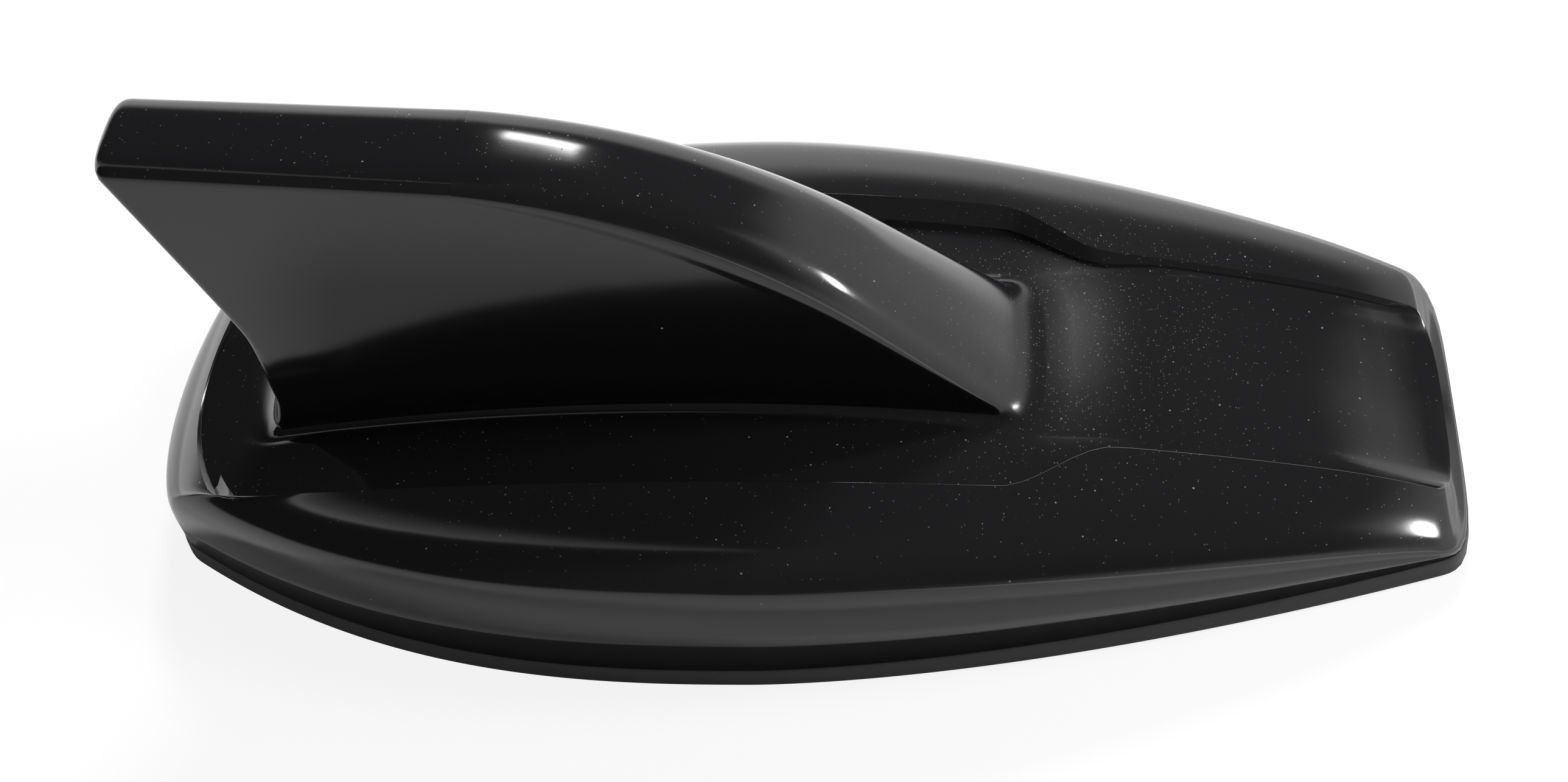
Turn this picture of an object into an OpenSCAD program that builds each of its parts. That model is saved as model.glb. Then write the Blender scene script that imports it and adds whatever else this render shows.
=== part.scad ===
// Shark fin roof aerial: a glossy hollow cover over a rubber seal, a die-cast
// base plate and the aerials, boards and sockets that it protects.
// Millimetres. +X is the nose, +Y the left side, +Z up. The origin is on the
// axis of the fixing thread, on the underside of the seal.

/* [Body] */
// Length of the sealing edge, nose to tail
body_l = 170; // [166:1:176]
// Width at the widest point
body_w = 76; // [74:0.2:80]
// How far the widest point lies behind the middle
wide_back = 3; // [1:0.2:6]
// Width at the nose, before its corners are rounded
nose_w = 43.2; // [41:0.2:46]
// Width at the tail, before its corners are rounded
tail_w = 30.8; // [28:0.2:34]
// Height of the cheeks where they are highest
cheek_h = 23.3; // [22.8:0.1:24.8]
// How far the highest point lies behind the middle
high_back = 18.5; // [15:0.5:21]
// How far the arch falls from its highest point to the nose
nose_fall = 17.7; // [14.8:0.1:18.2]
// Wall of the cover
wall = 2.4; // [2:0.1:2.6]

/* [Cheeks] */
// Half width of the spine beside the fin
spine_rear = 23.4; // [22.8:0.1:24.4]
// Half width of the spine ahead of the bend
spine_front = 15.4; // [14.6:0.1:16.4]
// Middle of the bend, behind the nose
bend_nose = 50; // [47:0.5:53]
// Length of the bend
bend_l = 14; // [12:0.5:18]
// Height of the step beside the fin
step_rear = 3.3; // [2.8:0.1:3.5]
// Height of the step ahead of the bend
step_front = 0.8; // [0.6:0.1:1.2]

/* [Fin] */
// Height of the fin's tip above the roof
fin_h = 62.2; // [60:0.2:64]
// Where the trailing edge starts, ahead of the tail
fin_tail = 20.8; // [19.6:0.2:21.8]
// Where the leading edge would meet the spine, behind the nose
fin_nose = 53.4; // [52:0.2:55]
// Half width of the fin where it meets the spine
fin_foot = 10; // [9.7:0.1:10.6]
// Slope of the fin's two sides
fin_lean = 5.4; // [4.8:0.1:6]
// Slope of the leading edge
lead_slope = 45.7; // [44:0.1:46.5]
// Slope of the ridge
ridge_slope = 6.5; // [5:0.1:7.5]
// Radius from the leading edge into the ridge
crest_r = 76; // [66:1:80]
// Rake of the trailing edge, for each millimetre of height
trail_rake = 0.36; // [0.3:0.01:0.42]
// Radius of the fillet round the fin's foot
foot_fillet = 2.2; // [1.8:0.1:2.6]

/* [Seal and base plate] */
// Height of the seal's visible band
seal_h = 3; // [2.8:0.1:3.2]
// Thickness of the seal's inner flange
flange_t = 1.6; // [1.4:0.1:1.8]
// Thickness of the base plate
plate_t = 2.5; // [2.3:0.1:2.7]
// Clearance between parts that fit together
fit_gap = 0.3; // [0.2:0.05:0.35]

/* [Fixing and leads] */
// Bore of the fixing thread
thread_d = 5; // [4.5:0.1:6]
// Diameter of the fixing insert
insert_d = 10; // [9:0.5:10.5]
// Distance from the fixing thread to the middle of the lead sockets
header_x = 20; // [19.5:0.5:21]
// Bore of each lead socket
socket_d = 7; // [6:0.1:7.4]
// Spacing of the lead sockets
socket_pitch = 10.6; // [10.2:0.1:11]
// Diameter of the cover screws
cover_screw_d = 3; // [2.6:0.1:3.2]

/* [Boards and aerials] */
// Thickness of the circuit boards
board_t = 1.6; // [1.2:0.1:1.7]
// Height of the pillars that carry the main board
board_rise = 2; // [1.9:0.1:2.2]
// Width of the main board
board_w = 36; // [35.5:0.5:37]
// Side of the positioning patch
patch_s = 18; // [15:0.5:18.5]
// Thickness of the positioning patch
patch_t = 3; // [2.2:0.1:3.1]
// Wire of the loading coil
coil_wire = 1; // [0.8:0.1:1.2]
// Turns of the loading coil
coil_turns = 6; // [4:1:7]

/* [Hidden] */
$fn = 48;

// Ends of the body along X, and what rounds them. What is spread along the
// board keeps its share of the length that the board is drawn for.
drawn_l = 170;
stretch = body_l/drawn_l;
half_l = body_l/2;
half_w = body_w/2;
wide_x = -wide_back;
high_x = -high_back;
arch_r = pow(half_l - high_x, 2)/(2*nose_fall);
bend_x = half_l - bend_nose;
fin_rear = half_l - fin_tail;
fin_front = half_l - fin_nose;
nose_cap = 5.4;
nose_round = 4.5;
tail_cap = 6;
tail_round = 2.1;
nose_taper = 1.63;
tail_taper = 2.53;
seal_ledge = 0.5;
rim_z = seal_h;

// Points on each straight side, and across the front and the rear of a ring
side_n = 30;
cross_n = 8;

// How the points are spread along a side: close together round the bend
function spread(t) = lookup(t, [[0, 0], [0.6, 0.5], [0.78, 0.82], [1, 1]]);
function mix(a, b, t) = a + (b - a)*t;
function clamp(t) = min(1, max(0, t));
function smooth(t) = let (c = clamp(t)) c*c*(3 - 2*c);
function soft(t, r) = (t + sqrt(t*t + r*r))/2;

// A ring has four stretches: near side, front, far side, rear. Its half width
// is a function of x, and its ends are rounded boxes.
function round_box(a, p) = let (c = abs(cos(a)), s = abs(sin(a)), r = pow(pow(c, p) + pow(s, p), -1/p))
    [r*c, r*s];
function cross_angle(i) = 90 - 180*i/cross_n;
function ring(xr, cap_r, pr, xf, cap_f, pf, hw) = [
    for (i = [0:side_n]) let (x = mix(xr, xf, spread(i/side_n))) [x, -hw(x)],
    for (i = [1:cross_n - 1]) let (a = cross_angle(i), b = round_box(a, pf), x = xf + cap_f*b[0])
        [x, -sign(a)*hw(x)*b[1]],
    for (i = [side_n:-1:0]) let (x = mix(xr, xf, spread(i/side_n))) [x, hw(x)],
    for (i = [1:cross_n - 1]) let (a = cross_angle(i), b = round_box(a, pr), x = xr - cap_r*b[0])
        [x, sign(a)*hw(x)*b[1]]];

// Plan of the body, off inside the sealing edge
cap_share = 0.4;
function side_w(x) = x > wide_x
    ? half_w - (half_w - nose_w/2)*pow((x - wide_x)/(half_l - wide_x), nose_taper)
    : half_w - (half_w - tail_w/2)*pow((wide_x - x)/(half_l + wide_x), tail_taper);
function outline(off) = ring(
    -half_l + tail_cap + (1 - cap_share)*off, tail_cap - cap_share*off, tail_round,
    half_l - nose_cap - (1 - cap_share)*off, nose_cap - cap_share*off, nose_round,
    function (x) side_w(x) - off);

// The spine's edge: wide beside the fin, then the bend, then narrow
step_end_r = 18.8;
step_cap_r = 10.9;
step_end_f = 9.9;
step_cap_f = 3.4;
step_in = 1.7;
spine_bow = 0.0005;
spine_taper = 0.025;
step_back = 0.3;
step_least = 0.12;
function bend_at(x) = smooth((x - bend_x)/bend_l + 0.5);
function spine_w(x) = mix(spine_rear - spine_bow*pow(x + 20, 2),
    spine_front - spine_taper*(x - bend_x - bend_l/2), bend_at(x));
function step_h(x) = mix(step_rear, step_front, smooth((x - bend_x)/(bend_l*1.6) + 0.3))
    *smooth((half_l - 2 - x)/6)*smooth((x + half_l - 6)/9);
function step_ring(off, low) = ring(
    -half_l + step_end_r + off/2, step_cap_r - low*step_least, 2.2,
    half_l - step_end_f - off/2, step_cap_f - low*step_least, 3,
    function (x) min(spine_w(x) + 0.6*off, side_w(x) - step_in - 1.15*off)
        - low*(step_back*step_h(x) + step_least));

// Height of the body's skin: an arch along X with a slight crown across it
crown = 0.0016;
function skin_h(x, y) = cheek_h - pow(x - high_x, 2)/(2*arch_r) - crown*(y*y - spine_rear*spine_rear);
function spine_h(x) = skin_h(x, 0) - step_h(x);

// Share of the full height at distance d inside the edge: square at the sides,
// rounder at the nose and tail. nx is the edge's direction there.
side_power = 9.1;
nose_power = 2.2;
tail_power = 3.5;
draft = tan(0.6);
function end_power(nx) = nx > 0 ? nose_power : tail_power;
function edge_power(nx) = side_power - (side_power - end_power(nx))*pow(abs(nx), 1.5);
function rise(d, power) = pow(1 - pow(1 - clamp(d/half_w), power), 1/power);
function edge_x(r, i) = let (n = len(r), v = r[(i + 1) % n] - r[(i + n - 1) % n]) v[1]/norm(v);
function powers(r) = [for (i = [0:len(r) - 1]) edge_power(edge_x(r, i))];
function lerp_ring(a, b, t) = [for (i = [0:len(a) - 1]) mix(a[i], b[i], t)];

// Rings from the rim up to the step, and from the step's foot to the fin.
// off is 0 on the outside and the wall's thickness on the inside.
function cheek_rings(off, steps) = let (
    o = outline(seal_ledge + off),
    s = step_ring(off, 0),
    pw = powers(o))
    [for (t = steps) let (r = lerp_ring(o, s, t)) [for (i = [0:len(r) - 1])
        let (z = rim_z + (skin_h(r[i][0], r[i][1]) - off - rim_z)*rise(norm(r[i] - o[i]), pw[i]),
            k = 1 - draft*(z - rim_z)/half_w*(1 - t))
        [r[i][0]*k, r[i][1]*k, z]]];
function spine_rings(off, steps) = let (
    o = outline(seal_ledge + off),
    s = step_ring(off, 1),
    f = foot_ring(),
    pw = powers(o))
    [for (t = steps) let (r = lerp_ring(s, f, t)) [for (i = [0:len(r) - 1])
        let (d = norm(s[i] - o[i]) + norm(r[i] - s[i]),
            top = skin_h(r[i][0], r[i][1]) - step_h(r[i][0]) - off)
        [r[i][0], r[i][1], rim_z + (top - rim_z)*rise(d, pw[i])]]];

// Profile of the fin in the XZ plane. The crest is two lines and an arc.
trail_z = 33.6;
trail_soft = 2;
sweep_l = 6.1;
sweep_h = 12.3;
sweep_z = 22.2;
foot_z = 22;
tip_x = -fin_rear - trail_rake*(fin_h - trail_z);
lead_z = spine_h(fin_front);
corner_x = (fin_h - lead_z - fin_front*tan(lead_slope) + tip_x*tan(ridge_slope))
    /(tan(ridge_slope) - tan(lead_slope));
corner_z = lead_z + (fin_front - corner_x)*tan(lead_slope);
crest_tan = crest_r*tan((lead_slope - ridge_slope)/2);
arc_from = corner_x - crest_tan*cos(ridge_slope);
arc_to = corner_x + crest_tan*cos(lead_slope);
arc_cx = arc_from - crest_r*sin(ridge_slope);
arc_cz = corner_z + crest_tan*sin(ridge_slope) - crest_r*cos(ridge_slope);
function crest(x) = x < arc_from ? fin_h - (x - tip_x)*tan(ridge_slope)
    : x > arc_to ? lead_z + (fin_front - x)*tan(lead_slope)
    : arc_cz + sqrt(crest_r*crest_r - pow(x - arc_cx, 2));
function crest_angle(x) = x < arc_from ? ridge_slope : x > arc_to ? lead_slope : asin((x - arc_cx)/crest_r);
function trail(z) = -fin_rear - trail_rake*soft(z - trail_z, trail_soft)
    - sweep_l*pow(clamp((sweep_z - z)/sweep_h), 1.5);
function fin_w(z) = fin_foot - (z - foot_z)*tan(fin_lean);
foot_rear_x = trail(sweep_z - sweep_h);

// Plan of the fin's foot with its fillet
foot_cap_r = 6;
foot_cap_f = 4;
function foot_ring() = ring(foot_rear_x + foot_cap_r, foot_cap_r + foot_fillet, 2.6,
    fin_front - foot_cap_f, foot_cap_f + foot_fillet, 3,
    function (x) fin_w(spine_h(x)) + foot_fillet);

// One level of the fin, from its foot at v = 0 to the ridge at v = 1. lift is
// the height of the lowest level above the spine.
ridge_r = 2.1;
rear_r = 2.2;
ridge_drop = 2.4;
lead_full = 2.5;
lead_box = 3;
rear_box = 3;
ridge_box = 3;
function lead_round(v) = ridge_r + lead_full*sin(180*v);
function fin_ring(v, off, lift) = let (
    zr = mix(spine_h(foot_rear_x) + lift, fin_h - ridge_drop - off, v),
    xr = trail(zr) + off*1.1 + rear_r,
    xb = mix(fin_front - lift/tan(lead_slope), arc_from, v),
    a = crest_angle(xb),
    phi = mix(90, a, smooth(v/0.25)),
    depth = lead_round(v)/cos(phi - a),
    nose = [xb - sin(a)*off, crest(xb) - cos(a)*off],
    x1 = nose[0] - sin(phi)*depth,
    z1 = nose[1] - cos(phi)*depth,
    side = [for (i = [0:side_n]) let (c = spread(i/side_n), x = mix(xr, x1, c),
        z = mix(zr, z1, c) + pow(1 - v, 2)*(spine_h(x) - mix(spine_h(xr), spine_h(x1), c)))
        [x, fin_w(z) - off, z]],
    wf = side[side_n][1])
    concat([for (q = side) [q[0], -q[1], q[2]]],
        [for (i = [1:cross_n - 1])
            let (t = cross_angle(i), b = round_box(t, lead_box), s = depth*(1 - b[0]))
            [nose[0] - sin(phi)*s, -sign(t)*wf*b[1], nose[1] - cos(phi)*s]],
        [for (i = [side_n:-1:0]) side[i]],
        [for (i = [1:cross_n - 1]) let (t = cross_angle(i), b = round_box(t, rear_box))
            [xr - rear_r*b[0], sign(t)*side[0][1]*b[1], zr]]);

// Rings that fillet the fin into the spine, and rings that close the ridge
ridge_front = 2.4;
ridge_rear = 1.4;
function bezier(a, b, c, t) = a*(1 - t)*(1 - t) + b*2*t*(1 - t) + c*t*t;
function fillet_rings(off, steps) = let (
    a = spine_rings(off, [1])[0], b = fin_ring(0, off, -off), c = fin_ring(0, off, foot_fillet))
    [for (t = steps) [for (i = [0:len(a) - 1]) bezier(a[i], b[i], c[i], t)]];
function ridge_ring(share, off) = let (
    w = function (x) fin_w(crest(x) - ridge_r - off) - off,
    xe = trail(fin_h - ridge_drop - off) + off*1.1 + rear_r,
    xa = xe + (1 - share)*ridge_rear,
    xb = arc_from - sin(ridge_slope)*(off + ridge_r) - (1 - share)*ridge_front,
    plan = ring(xa, rear_r*share, rear_box, xb, sin(ridge_slope)*ridge_r*share, lead_box,
        function (x) share*w(x)))
    [for (q = plan) let (u = abs(q[1])/w(q[0]), back = clamp((xe - q[0])/rear_r),
        full = max(0, 1 - pow(u, ridge_box) - pow(back, ridge_box)))
        [q[0], q[1], crest(q[0]) - off - mix(ridge_r, ridge_drop, back)*(1 - pow(full, 1/ridge_box))]];

// Skins a list of rings of equal count and closes each end along its middle
function zip_faces(base, flip) = let (m = side_n + cross_n, n = 2*m, f = [
    for (i = [0:side_n - 1]) each [[i, i + 1, m + side_n - i - 1], [i, m + side_n - i - 1, m + side_n - i]],
    for (i = [side_n + 1:m - 1]) [side_n, i, i + 1],
    for (i = [m + side_n + 1:n - 1]) [m + side_n, i, (i + 1) % n]])
    [for (t = f) flip ? [base + t[0], base + t[1], base + t[2]] : [base + t[2], base + t[1], base + t[0]]];
function skin_faces(n, last) = [for (k = [0:last - 1]) for (i = [0:n - 1])
    let (j = (i + 1) % n, a = k*n, b = a + n) each [[a + i, a + j, b + j], [a + i, b + j, b + i]]];
module skin(rings) {
    n = len(rings[0]);
    last = len(rings) - 1;
    polyhedron([for (r = rings) each r],
        concat(skin_faces(n, last), zip_faces(0, false), zip_faces(last*n, true)), convexity = 12);
}

// Sweeps a closed profile of [offset, height] pairs round the body
module body_sweep(profile) {
    rings = [for (q = profile) [for (p = outline(q[0])) [p[0], p[1], q[1]]]];
    n = len(rings[0]);
    last = len(rings) - 1;
    polyhedron([for (r = rings) each r],
        concat(skin_faces(n, last), [for (i = [0:n - 1]) let (j = (i + 1) % n, a = last*n)
            each [[a + i, a + j, j], [a + i, j, i]]]), convexity = 6);
}

// A plate with rounded corners, centred on the origin
module slab(l, w, r, h) {
    for (x = [-1, 1]) for (y = [-1, 1]) translate([x*(l/2 - r), y*(w/2 - r), 0]) cylinder(r = r, h = h);
    translate([-l/2, -w/2 + r, 0]) cube([l, w - 2*r, h]);
    translate([-l/2 + r, -w/2, 0]) cube([l - 2*r, w, h]);
}

// A box that starts at a corner given by x, y and z and is centred across y
module across(x, z, l, w, h) translate([x, -w/2, z]) cube([l, w, h]);

// The cover's two skins, outside from the ridge down, inside from the rim up
cheek_steps = [0, 0.003, 0.015, 0.04, 0.09, 0.18, 0.34, 0.6, 1];
spine_steps = [0, 0.15, 0.4, 0.7, 1];
fin_levels = [0, 0.05, 0.11, 0.18, 0.26, 0.36, 0.5, 0.64, 0.78, 0.9, 1];
ridge_shares = [0.95, 0.84, 0.66, 0.42, 0.18];
inner_cheeks = [0, 0.02, 0.1, 0.3, 0.6, 1];
inner_spine = [0, 0.2, 0.45, 0.7, 1];
inner_levels = [0, 0.12, 0.25, 0.45, 0.7, 1];
inner_shares = [0.8, 0.3];
function shell(off, cheeks, spine, fillet, levels, shares) = concat(
    cheek_rings(off, cheeks), spine_rings(off, spine), fillet_rings(off, fillet),
    [for (v = levels) fin_ring(v, off, foot_fillet)], [for (s = shares) ridge_ring(s, off)]);
function reversed(list) = [for (i = [len(list) - 1:-1:0]) list[i]];

// Cover screws and the bosses they bite into
screw_x = 12;
screw_tail = 33;
screw_nose = 15;
screw_rear_x = -half_l + screw_tail;
screw_y = 18.5;
screw_nose_x = half_l - screw_nose;
screw_at = [[screw_x, screw_y], [screw_x, -screw_y],
    [screw_rear_x, screw_y], [screw_rear_x, -screw_y], [screw_nose_x, 0]];
plate_z = flange_t;
plate_top = plate_z + plate_t;
board_z = plate_top + board_rise;
boss_d = cover_screw_d + 3.4;
boss_bite = 1.2;
screw_bite = 6;
screw_head_d = 2*cover_screw_d;
screw_head_h = cover_screw_d/2;
boss_least = 0.9;
function boss_top(p) = skin_h(p[0], p[1]) - step_h(p[0]) - boss_bite - (p[1] == 0 ? 1 : 0);
function bite(p) = min(screw_bite, boss_top(p) - plate_top - boss_least);
module cover() color("#0b0b0d") difference() {
    union() {
        skin(concat(
            reversed(shell(0, cheek_steps, spine_steps, [0.25, 0.5, 0.75], fin_levels, ridge_shares)),
            shell(wall, inner_cheeks, inner_spine, [0.5], inner_levels, inner_shares)));
        for (p = screw_at) translate([p[0], p[1], plate_top])
            cylinder(d = boss_d, h = boss_top(p) - plate_top);
    }
    for (p = screw_at) translate([p[0], p[1], plate_top - 1]) cylinder(d = cover_screw_d, h = bite(p) + 1);
}

// The seal: a bead that shows below the cover, and a flange under the plate
bead_in = seal_ledge + wall + 0.2;
relief_z = 0.6;
relief_from = bead_in + 0.6;
relief_to = relief_from + 4.6;
rib_in = relief_to + 0.6;
flange_in = rib_in + 1;
module rubber_seal() color("#1d1d1f") body_sweep([
    [0.45, seal_h], [0.14, seal_h/2], [0, 0.5], [0.4, 0], [bead_in, 0], [relief_from, relief_z],
    [relief_to, relief_z], [rib_in, 0], [flange_in, 0], [flange_in, flange_t], [bead_in + 0.1, flange_t],
    [bead_in, seal_h]]);

// The base plate, with its pillars, fixing boss, pad and windows
plate_off = bead_in + fit_gap;
plate_nose = 9;
board_room = 8;
board_tail = 19;
board_front = screw_nose_x - board_room;
board_rear = -half_l + board_tail;
pillar_in = 4.5;
pillar_mid_x = -9*stretch;
pillar_rear_y = 12;
pillar_mid_y = 14.5;
pillar_front_y = 15.2;
pillar_at = [for (s = [-1, 1]) each [[board_rear + pillar_in, s*pillar_rear_y],
    [pillar_mid_x, s*pillar_mid_y], [board_front - pillar_in, s*pillar_front_y]]];
pillar_d = 6;
pilot_d = 2.4;
pad_z = 0.3;
pad_x = 13;
pad_l = 44;
pad_w = 20;
pad_r = 5;
insert_rise = 0.8;
insert_top = plate_top + insert_rise;
insert_flange = 0.9;
insert_flange_d = insert_d + 3;
insert_boss_d = insert_d + 4;
header_l = 22;
header_w = 12;
window_l = header_l + 2*fit_gap;
window_w = header_w + 2*fit_gap;
vent_x = -36*stretch;
vent_d = 4;
bar_h = 1;
bar_t = 1.6;
bar_pitch = 9;
bar_in = 9;
bar_to = -13*stretch;
bar_mid_to = -19*stretch;
bar_at = [[-bar_pitch, bar_to], [0, bar_mid_to], [bar_pitch, bar_to]];
sunk = 0.5;
module base_plate() color("#8f9398") difference() {
    union() {
        translate([0, 0, plate_z]) linear_extrude(plate_t) intersection() {
            polygon(outline(plate_off));
            translate([-half_l, -half_w]) square([body_l - plate_nose, body_w]);
        }
        translate([pad_x, 0, pad_z]) slab(pad_l, pad_w, pad_r, plate_z - pad_z + sunk);
        for (p = pillar_at) translate([p[0], p[1], plate_top - sunk])
            cylinder(d = pillar_d, h = board_z - plate_top + sunk);
        translate([0, 0, plate_top - sunk]) cylinder(d = insert_boss_d, h = insert_top - plate_top + sunk);
        for (b = bar_at) translate([board_rear + bar_in, b[0] - bar_t/2, plate_top - sunk])
            cube([b[1] - board_rear - bar_in, bar_t, bar_h + sunk]);
    }
    translate([0, 0, -1]) cylinder(d = insert_d, h = insert_top + 2);
    across(header_x - window_l/2, -1, window_l, window_w, plate_top + 3);
    for (p = screw_at) translate([p[0], p[1], 0]) {
        cylinder(d = cover_screw_d + 2*fit_gap, h = plate_top + 1);
        translate([0, 0, plate_z - 1]) cylinder(d = screw_head_d, h = 1);
        translate([0, 0, plate_z]) cylinder(d1 = screw_head_d, d2 = cover_screw_d, h = screw_head_h);
    }
    for (p = pillar_at) translate([p[0], p[1], plate_z - 1]) cylinder(d = pilot_d, h = board_z);
    translate([vent_x, 0, 0]) cylinder(d = vent_d, h = plate_top + 3);
}

gasket_edge = 4.5;
gasket_z = 0.1;
module inner_gasket() color("#2b2b2d") translate([pad_x, 0, gasket_z]) difference() {
    slab(pad_l + 2*gasket_edge, pad_w + 2*gasket_edge, pad_r + gasket_edge, plate_z - gasket_z);
    translate([0, 0, -1]) slab(pad_l + 2*fit_gap, pad_w + 2*fit_gap, pad_r + fit_gap, plate_z + 2);
}

thread_roof = 0.8;
module fixing_insert() color("#b98d3e") difference() {
    union() {
        translate([0, 0, pad_z]) cylinder(d = insert_d, h = insert_top - pad_z);
        translate([0, 0, insert_top]) cylinder(d = insert_flange_d, h = insert_flange);
    }
    translate([0, 0, pad_z - 1])
        cylinder(d = thread_d, h = insert_top + insert_flange - pad_z - thread_roof + 1);
}

screw_short = 0.5;
cover_socket_d = 0.6*cover_screw_d;
cover_socket_h = 0.8;
module cover_screws() color("#7c7f84") for (p = screw_at) translate([p[0], p[1], plate_z]) difference() {
    union() {
        cylinder(d1 = screw_head_d, d2 = cover_screw_d, h = screw_head_h);
        cylinder(d = cover_screw_d, h = plate_t + bite(p) - screw_short);
    }
    translate([0, 0, -1]) cylinder(d = cover_socket_d, h = cover_socket_h + 1, $fn = 6);
}

membrane_d = 9;
membrane_t = 0.3;
module vent_membrane() color("#e8e8e4") translate([vent_x, 0, plate_z - membrane_t])
    cylinder(d = membrane_d, h = membrane_t);

// The main board: notched beside the cover's bosses, open above the header
board_top = board_z + board_t;
board_corner = 3;
notch_d = boss_d + 1.6;
patch_gap = 1.5;
patch_x = header_x + header_l/2 + patch_gap + patch_s/2;
pin_d = 0.9;
module main_board() color("#1c5a36") difference() {
    translate([0, 0, board_z]) linear_extrude(board_t) polygon([
        [board_rear, -board_w/2 + 2*board_corner], [board_rear + 2*board_corner, -board_w/2],
        [board_front - board_corner, -board_w/2], [board_front, -board_w/2 + board_corner],
        [board_front, board_w/2 - board_corner], [board_front - board_corner, board_w/2],
        [board_rear + 2*board_corner, board_w/2], [board_rear, board_w/2 - 2*board_corner]]);
    across(header_x - window_l/2, board_z - 1, window_l, window_w, board_t + 2);
    for (p = screw_at) translate([p[0], p[1], board_z - 1]) cylinder(d = notch_d, h = board_t + 2);
    for (p = pillar_at) translate([p[0], p[1], board_z - 1]) cylinder(d = pilot_d + fit_gap, h = board_t + 2);
    translate([patch_x, 0, board_z - 1]) cylinder(d = pin_d, h = board_t + 2);
}

board_head_d = 4.4;
board_head_h = 1.5;
board_screw_l = 4.4;
board_socket_d = 1.5;
board_socket_h = 0.8;
module board_screws() color("#c9ccd0") for (p = pillar_at) translate([p[0], p[1], board_top]) difference() {
    union() {
        translate([0, 0, -board_screw_l]) cylinder(d = pilot_d, h = board_screw_l);
        cylinder(d = board_head_d, h = board_head_h);
    }
    translate([0, 0, board_head_h - board_socket_h])
        cylinder(d = board_socket_d, h = board_head_h, $fn = 6);
}

// Chips on the main board: x, y, length, width, height
chips = [[-50, 7.4, 7, 7, 1], [-39, 7, 5, 5, 0.9], [-31.5, 7, 4, 4, 0.9], [-24, 7, 5, 3, 1.2],
    [-14.4, 7.4, 6, 5, 1.4], [-1.5, 7, 5, 4, 0.9], [2, -6.5, 6, 6, 1], [-14.6, -8, 4, 4, 0.9],
    [-15.5, 12.5, 3, 2, 1], [-34, 13, 3.2, 1.6, 0.8], [-40, 13, 3.2, 1.6, 0.8], [-60, -4.5, 3, 1.6, 0.8]];
module chip(c) translate([c[0]*stretch - c[2]/2, c[1] - c[3]/2, board_top]) cube([c[2], c[3], c[4]]);
module board_chips() color("#222226") for (c = chips) chip(c);

can_x = -43.5*stretch;
can_y = -15.6;
can_l = 26*stretch;
can_w = 12;
can_h = 3.2;
can_t = 0.3;
can_hole = 1.4;
can_pitch = 4.8;
module shield_can() color("#b7babd") translate([can_x, can_y, board_top]) difference() {
    cube([can_l, can_w, can_h]);
    translate([can_t, can_t, -1]) cube([can_l - 2*can_t, can_w - 2*can_t, can_h - can_t + 1]);
    for (i = [0:4]) for (j = [-0.5, 0.5])
        translate([can_l/2 + (i - 2)*can_pitch, can_w/2 + j*can_pitch, 0])
            cylinder(d = can_hole, h = can_h + 1);
}

// The lead header: two round sockets that open downwards through the roof
header_z = pad_z + 0.2;
header_over = 3.2;
header_top = board_top + header_over;
socket_roof = 2;
header_rim = 17;
header_rim_h = 1.2;
contact_d = 1;
contact_low = 5.4;
contact_strip = 0.4;
contact_w = 1.2;
function socket_at(i) = header_x + i*socket_pitch/2;
module lead_header() color("#2f4f86") difference() {
    union() {
        across(header_x - header_l/2, header_z, header_l, header_w, header_top - header_z);
        across(header_x - header_l/2, plate_top, header_l, header_rim, header_rim_h);
    }
    for (i = [-1, 1]) translate([socket_at(i), 0, header_z - 1]) {
        cylinder(d = socket_d, h = header_top - header_z - socket_roof + 1);
        cylinder(d = contact_d, h = header_top - header_z + 2);
    }
}

strip_y = header_w/2 + 2;
strip_foot = 2;
module header_contacts() color("#d0a84a") for (i = [-1, 1]) translate([socket_at(i), 0, 0]) {
    translate([0, 0, contact_low]) cylinder(d = contact_d, h = header_top - contact_low + contact_strip/2);
    translate([-contact_w/2, -contact_w/2, header_top])
        cube([contact_w, strip_y + contact_w/2, contact_strip]);
    translate([-contact_w/2, strip_y - contact_strip, board_top])
        cube([contact_w, contact_strip, header_top - board_top + contact_strip]);
    translate([-contact_w/2, strip_y - contact_strip, board_top])
        cube([contact_w, strip_foot, contact_strip]);
}

// The positioning patch on its tape
tape_t = 0.3;
tape_in = 0.5;
electrode_in = 2.3;
electrode_t = 0.2;
electrode_cut = 2.6;
ceramic_z = board_top + tape_t;
patch_top = ceramic_z + patch_t;
module patch_tape() color("#d8d2c4") difference() {
    across(patch_x - patch_s/2 + tape_in, board_top, patch_s - 2*tape_in, patch_s - 2*tape_in, tape_t);
    translate([patch_x, 0, board_top - 1]) cylinder(d = pin_d, h = tape_t + 2);
}
module patch_ceramic() color("#c9b48e") difference() {
    across(patch_x - patch_s/2, ceramic_z, patch_s, patch_s, patch_t);
    translate([patch_x, 0, ceramic_z - 1]) cylinder(d = pin_d, h = patch_t + 2);
}
electrode_s = patch_s/2 - electrode_in;
module patch_electrode() color("#cfd2d6") translate([patch_x, 0, patch_top]) difference() {
    linear_extrude(electrode_t) polygon([
        [-electrode_s, -electrode_s], [electrode_s - electrode_cut, -electrode_s],
        [electrode_s, -electrode_s + electrode_cut], [electrode_s, electrode_s],
        [-electrode_s + electrode_cut, electrode_s], [-electrode_s, electrode_s - electrode_cut]]);
    translate([0, 0, -1]) cylinder(d = pin_d, h = electrode_t + 2);
}
pin_low = 0.8;
pin_head_h = 0.3;
module patch_pin() color("#d6d8da") translate([patch_x, 0, board_z - pin_low]) {
    cylinder(d = pin_d, h = patch_top + electrode_t - board_z + pin_low);
    translate([0, 0, patch_top + electrode_t - board_z + pin_low]) cylinder(d = 2*pin_d, h = pin_head_h);
}

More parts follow.
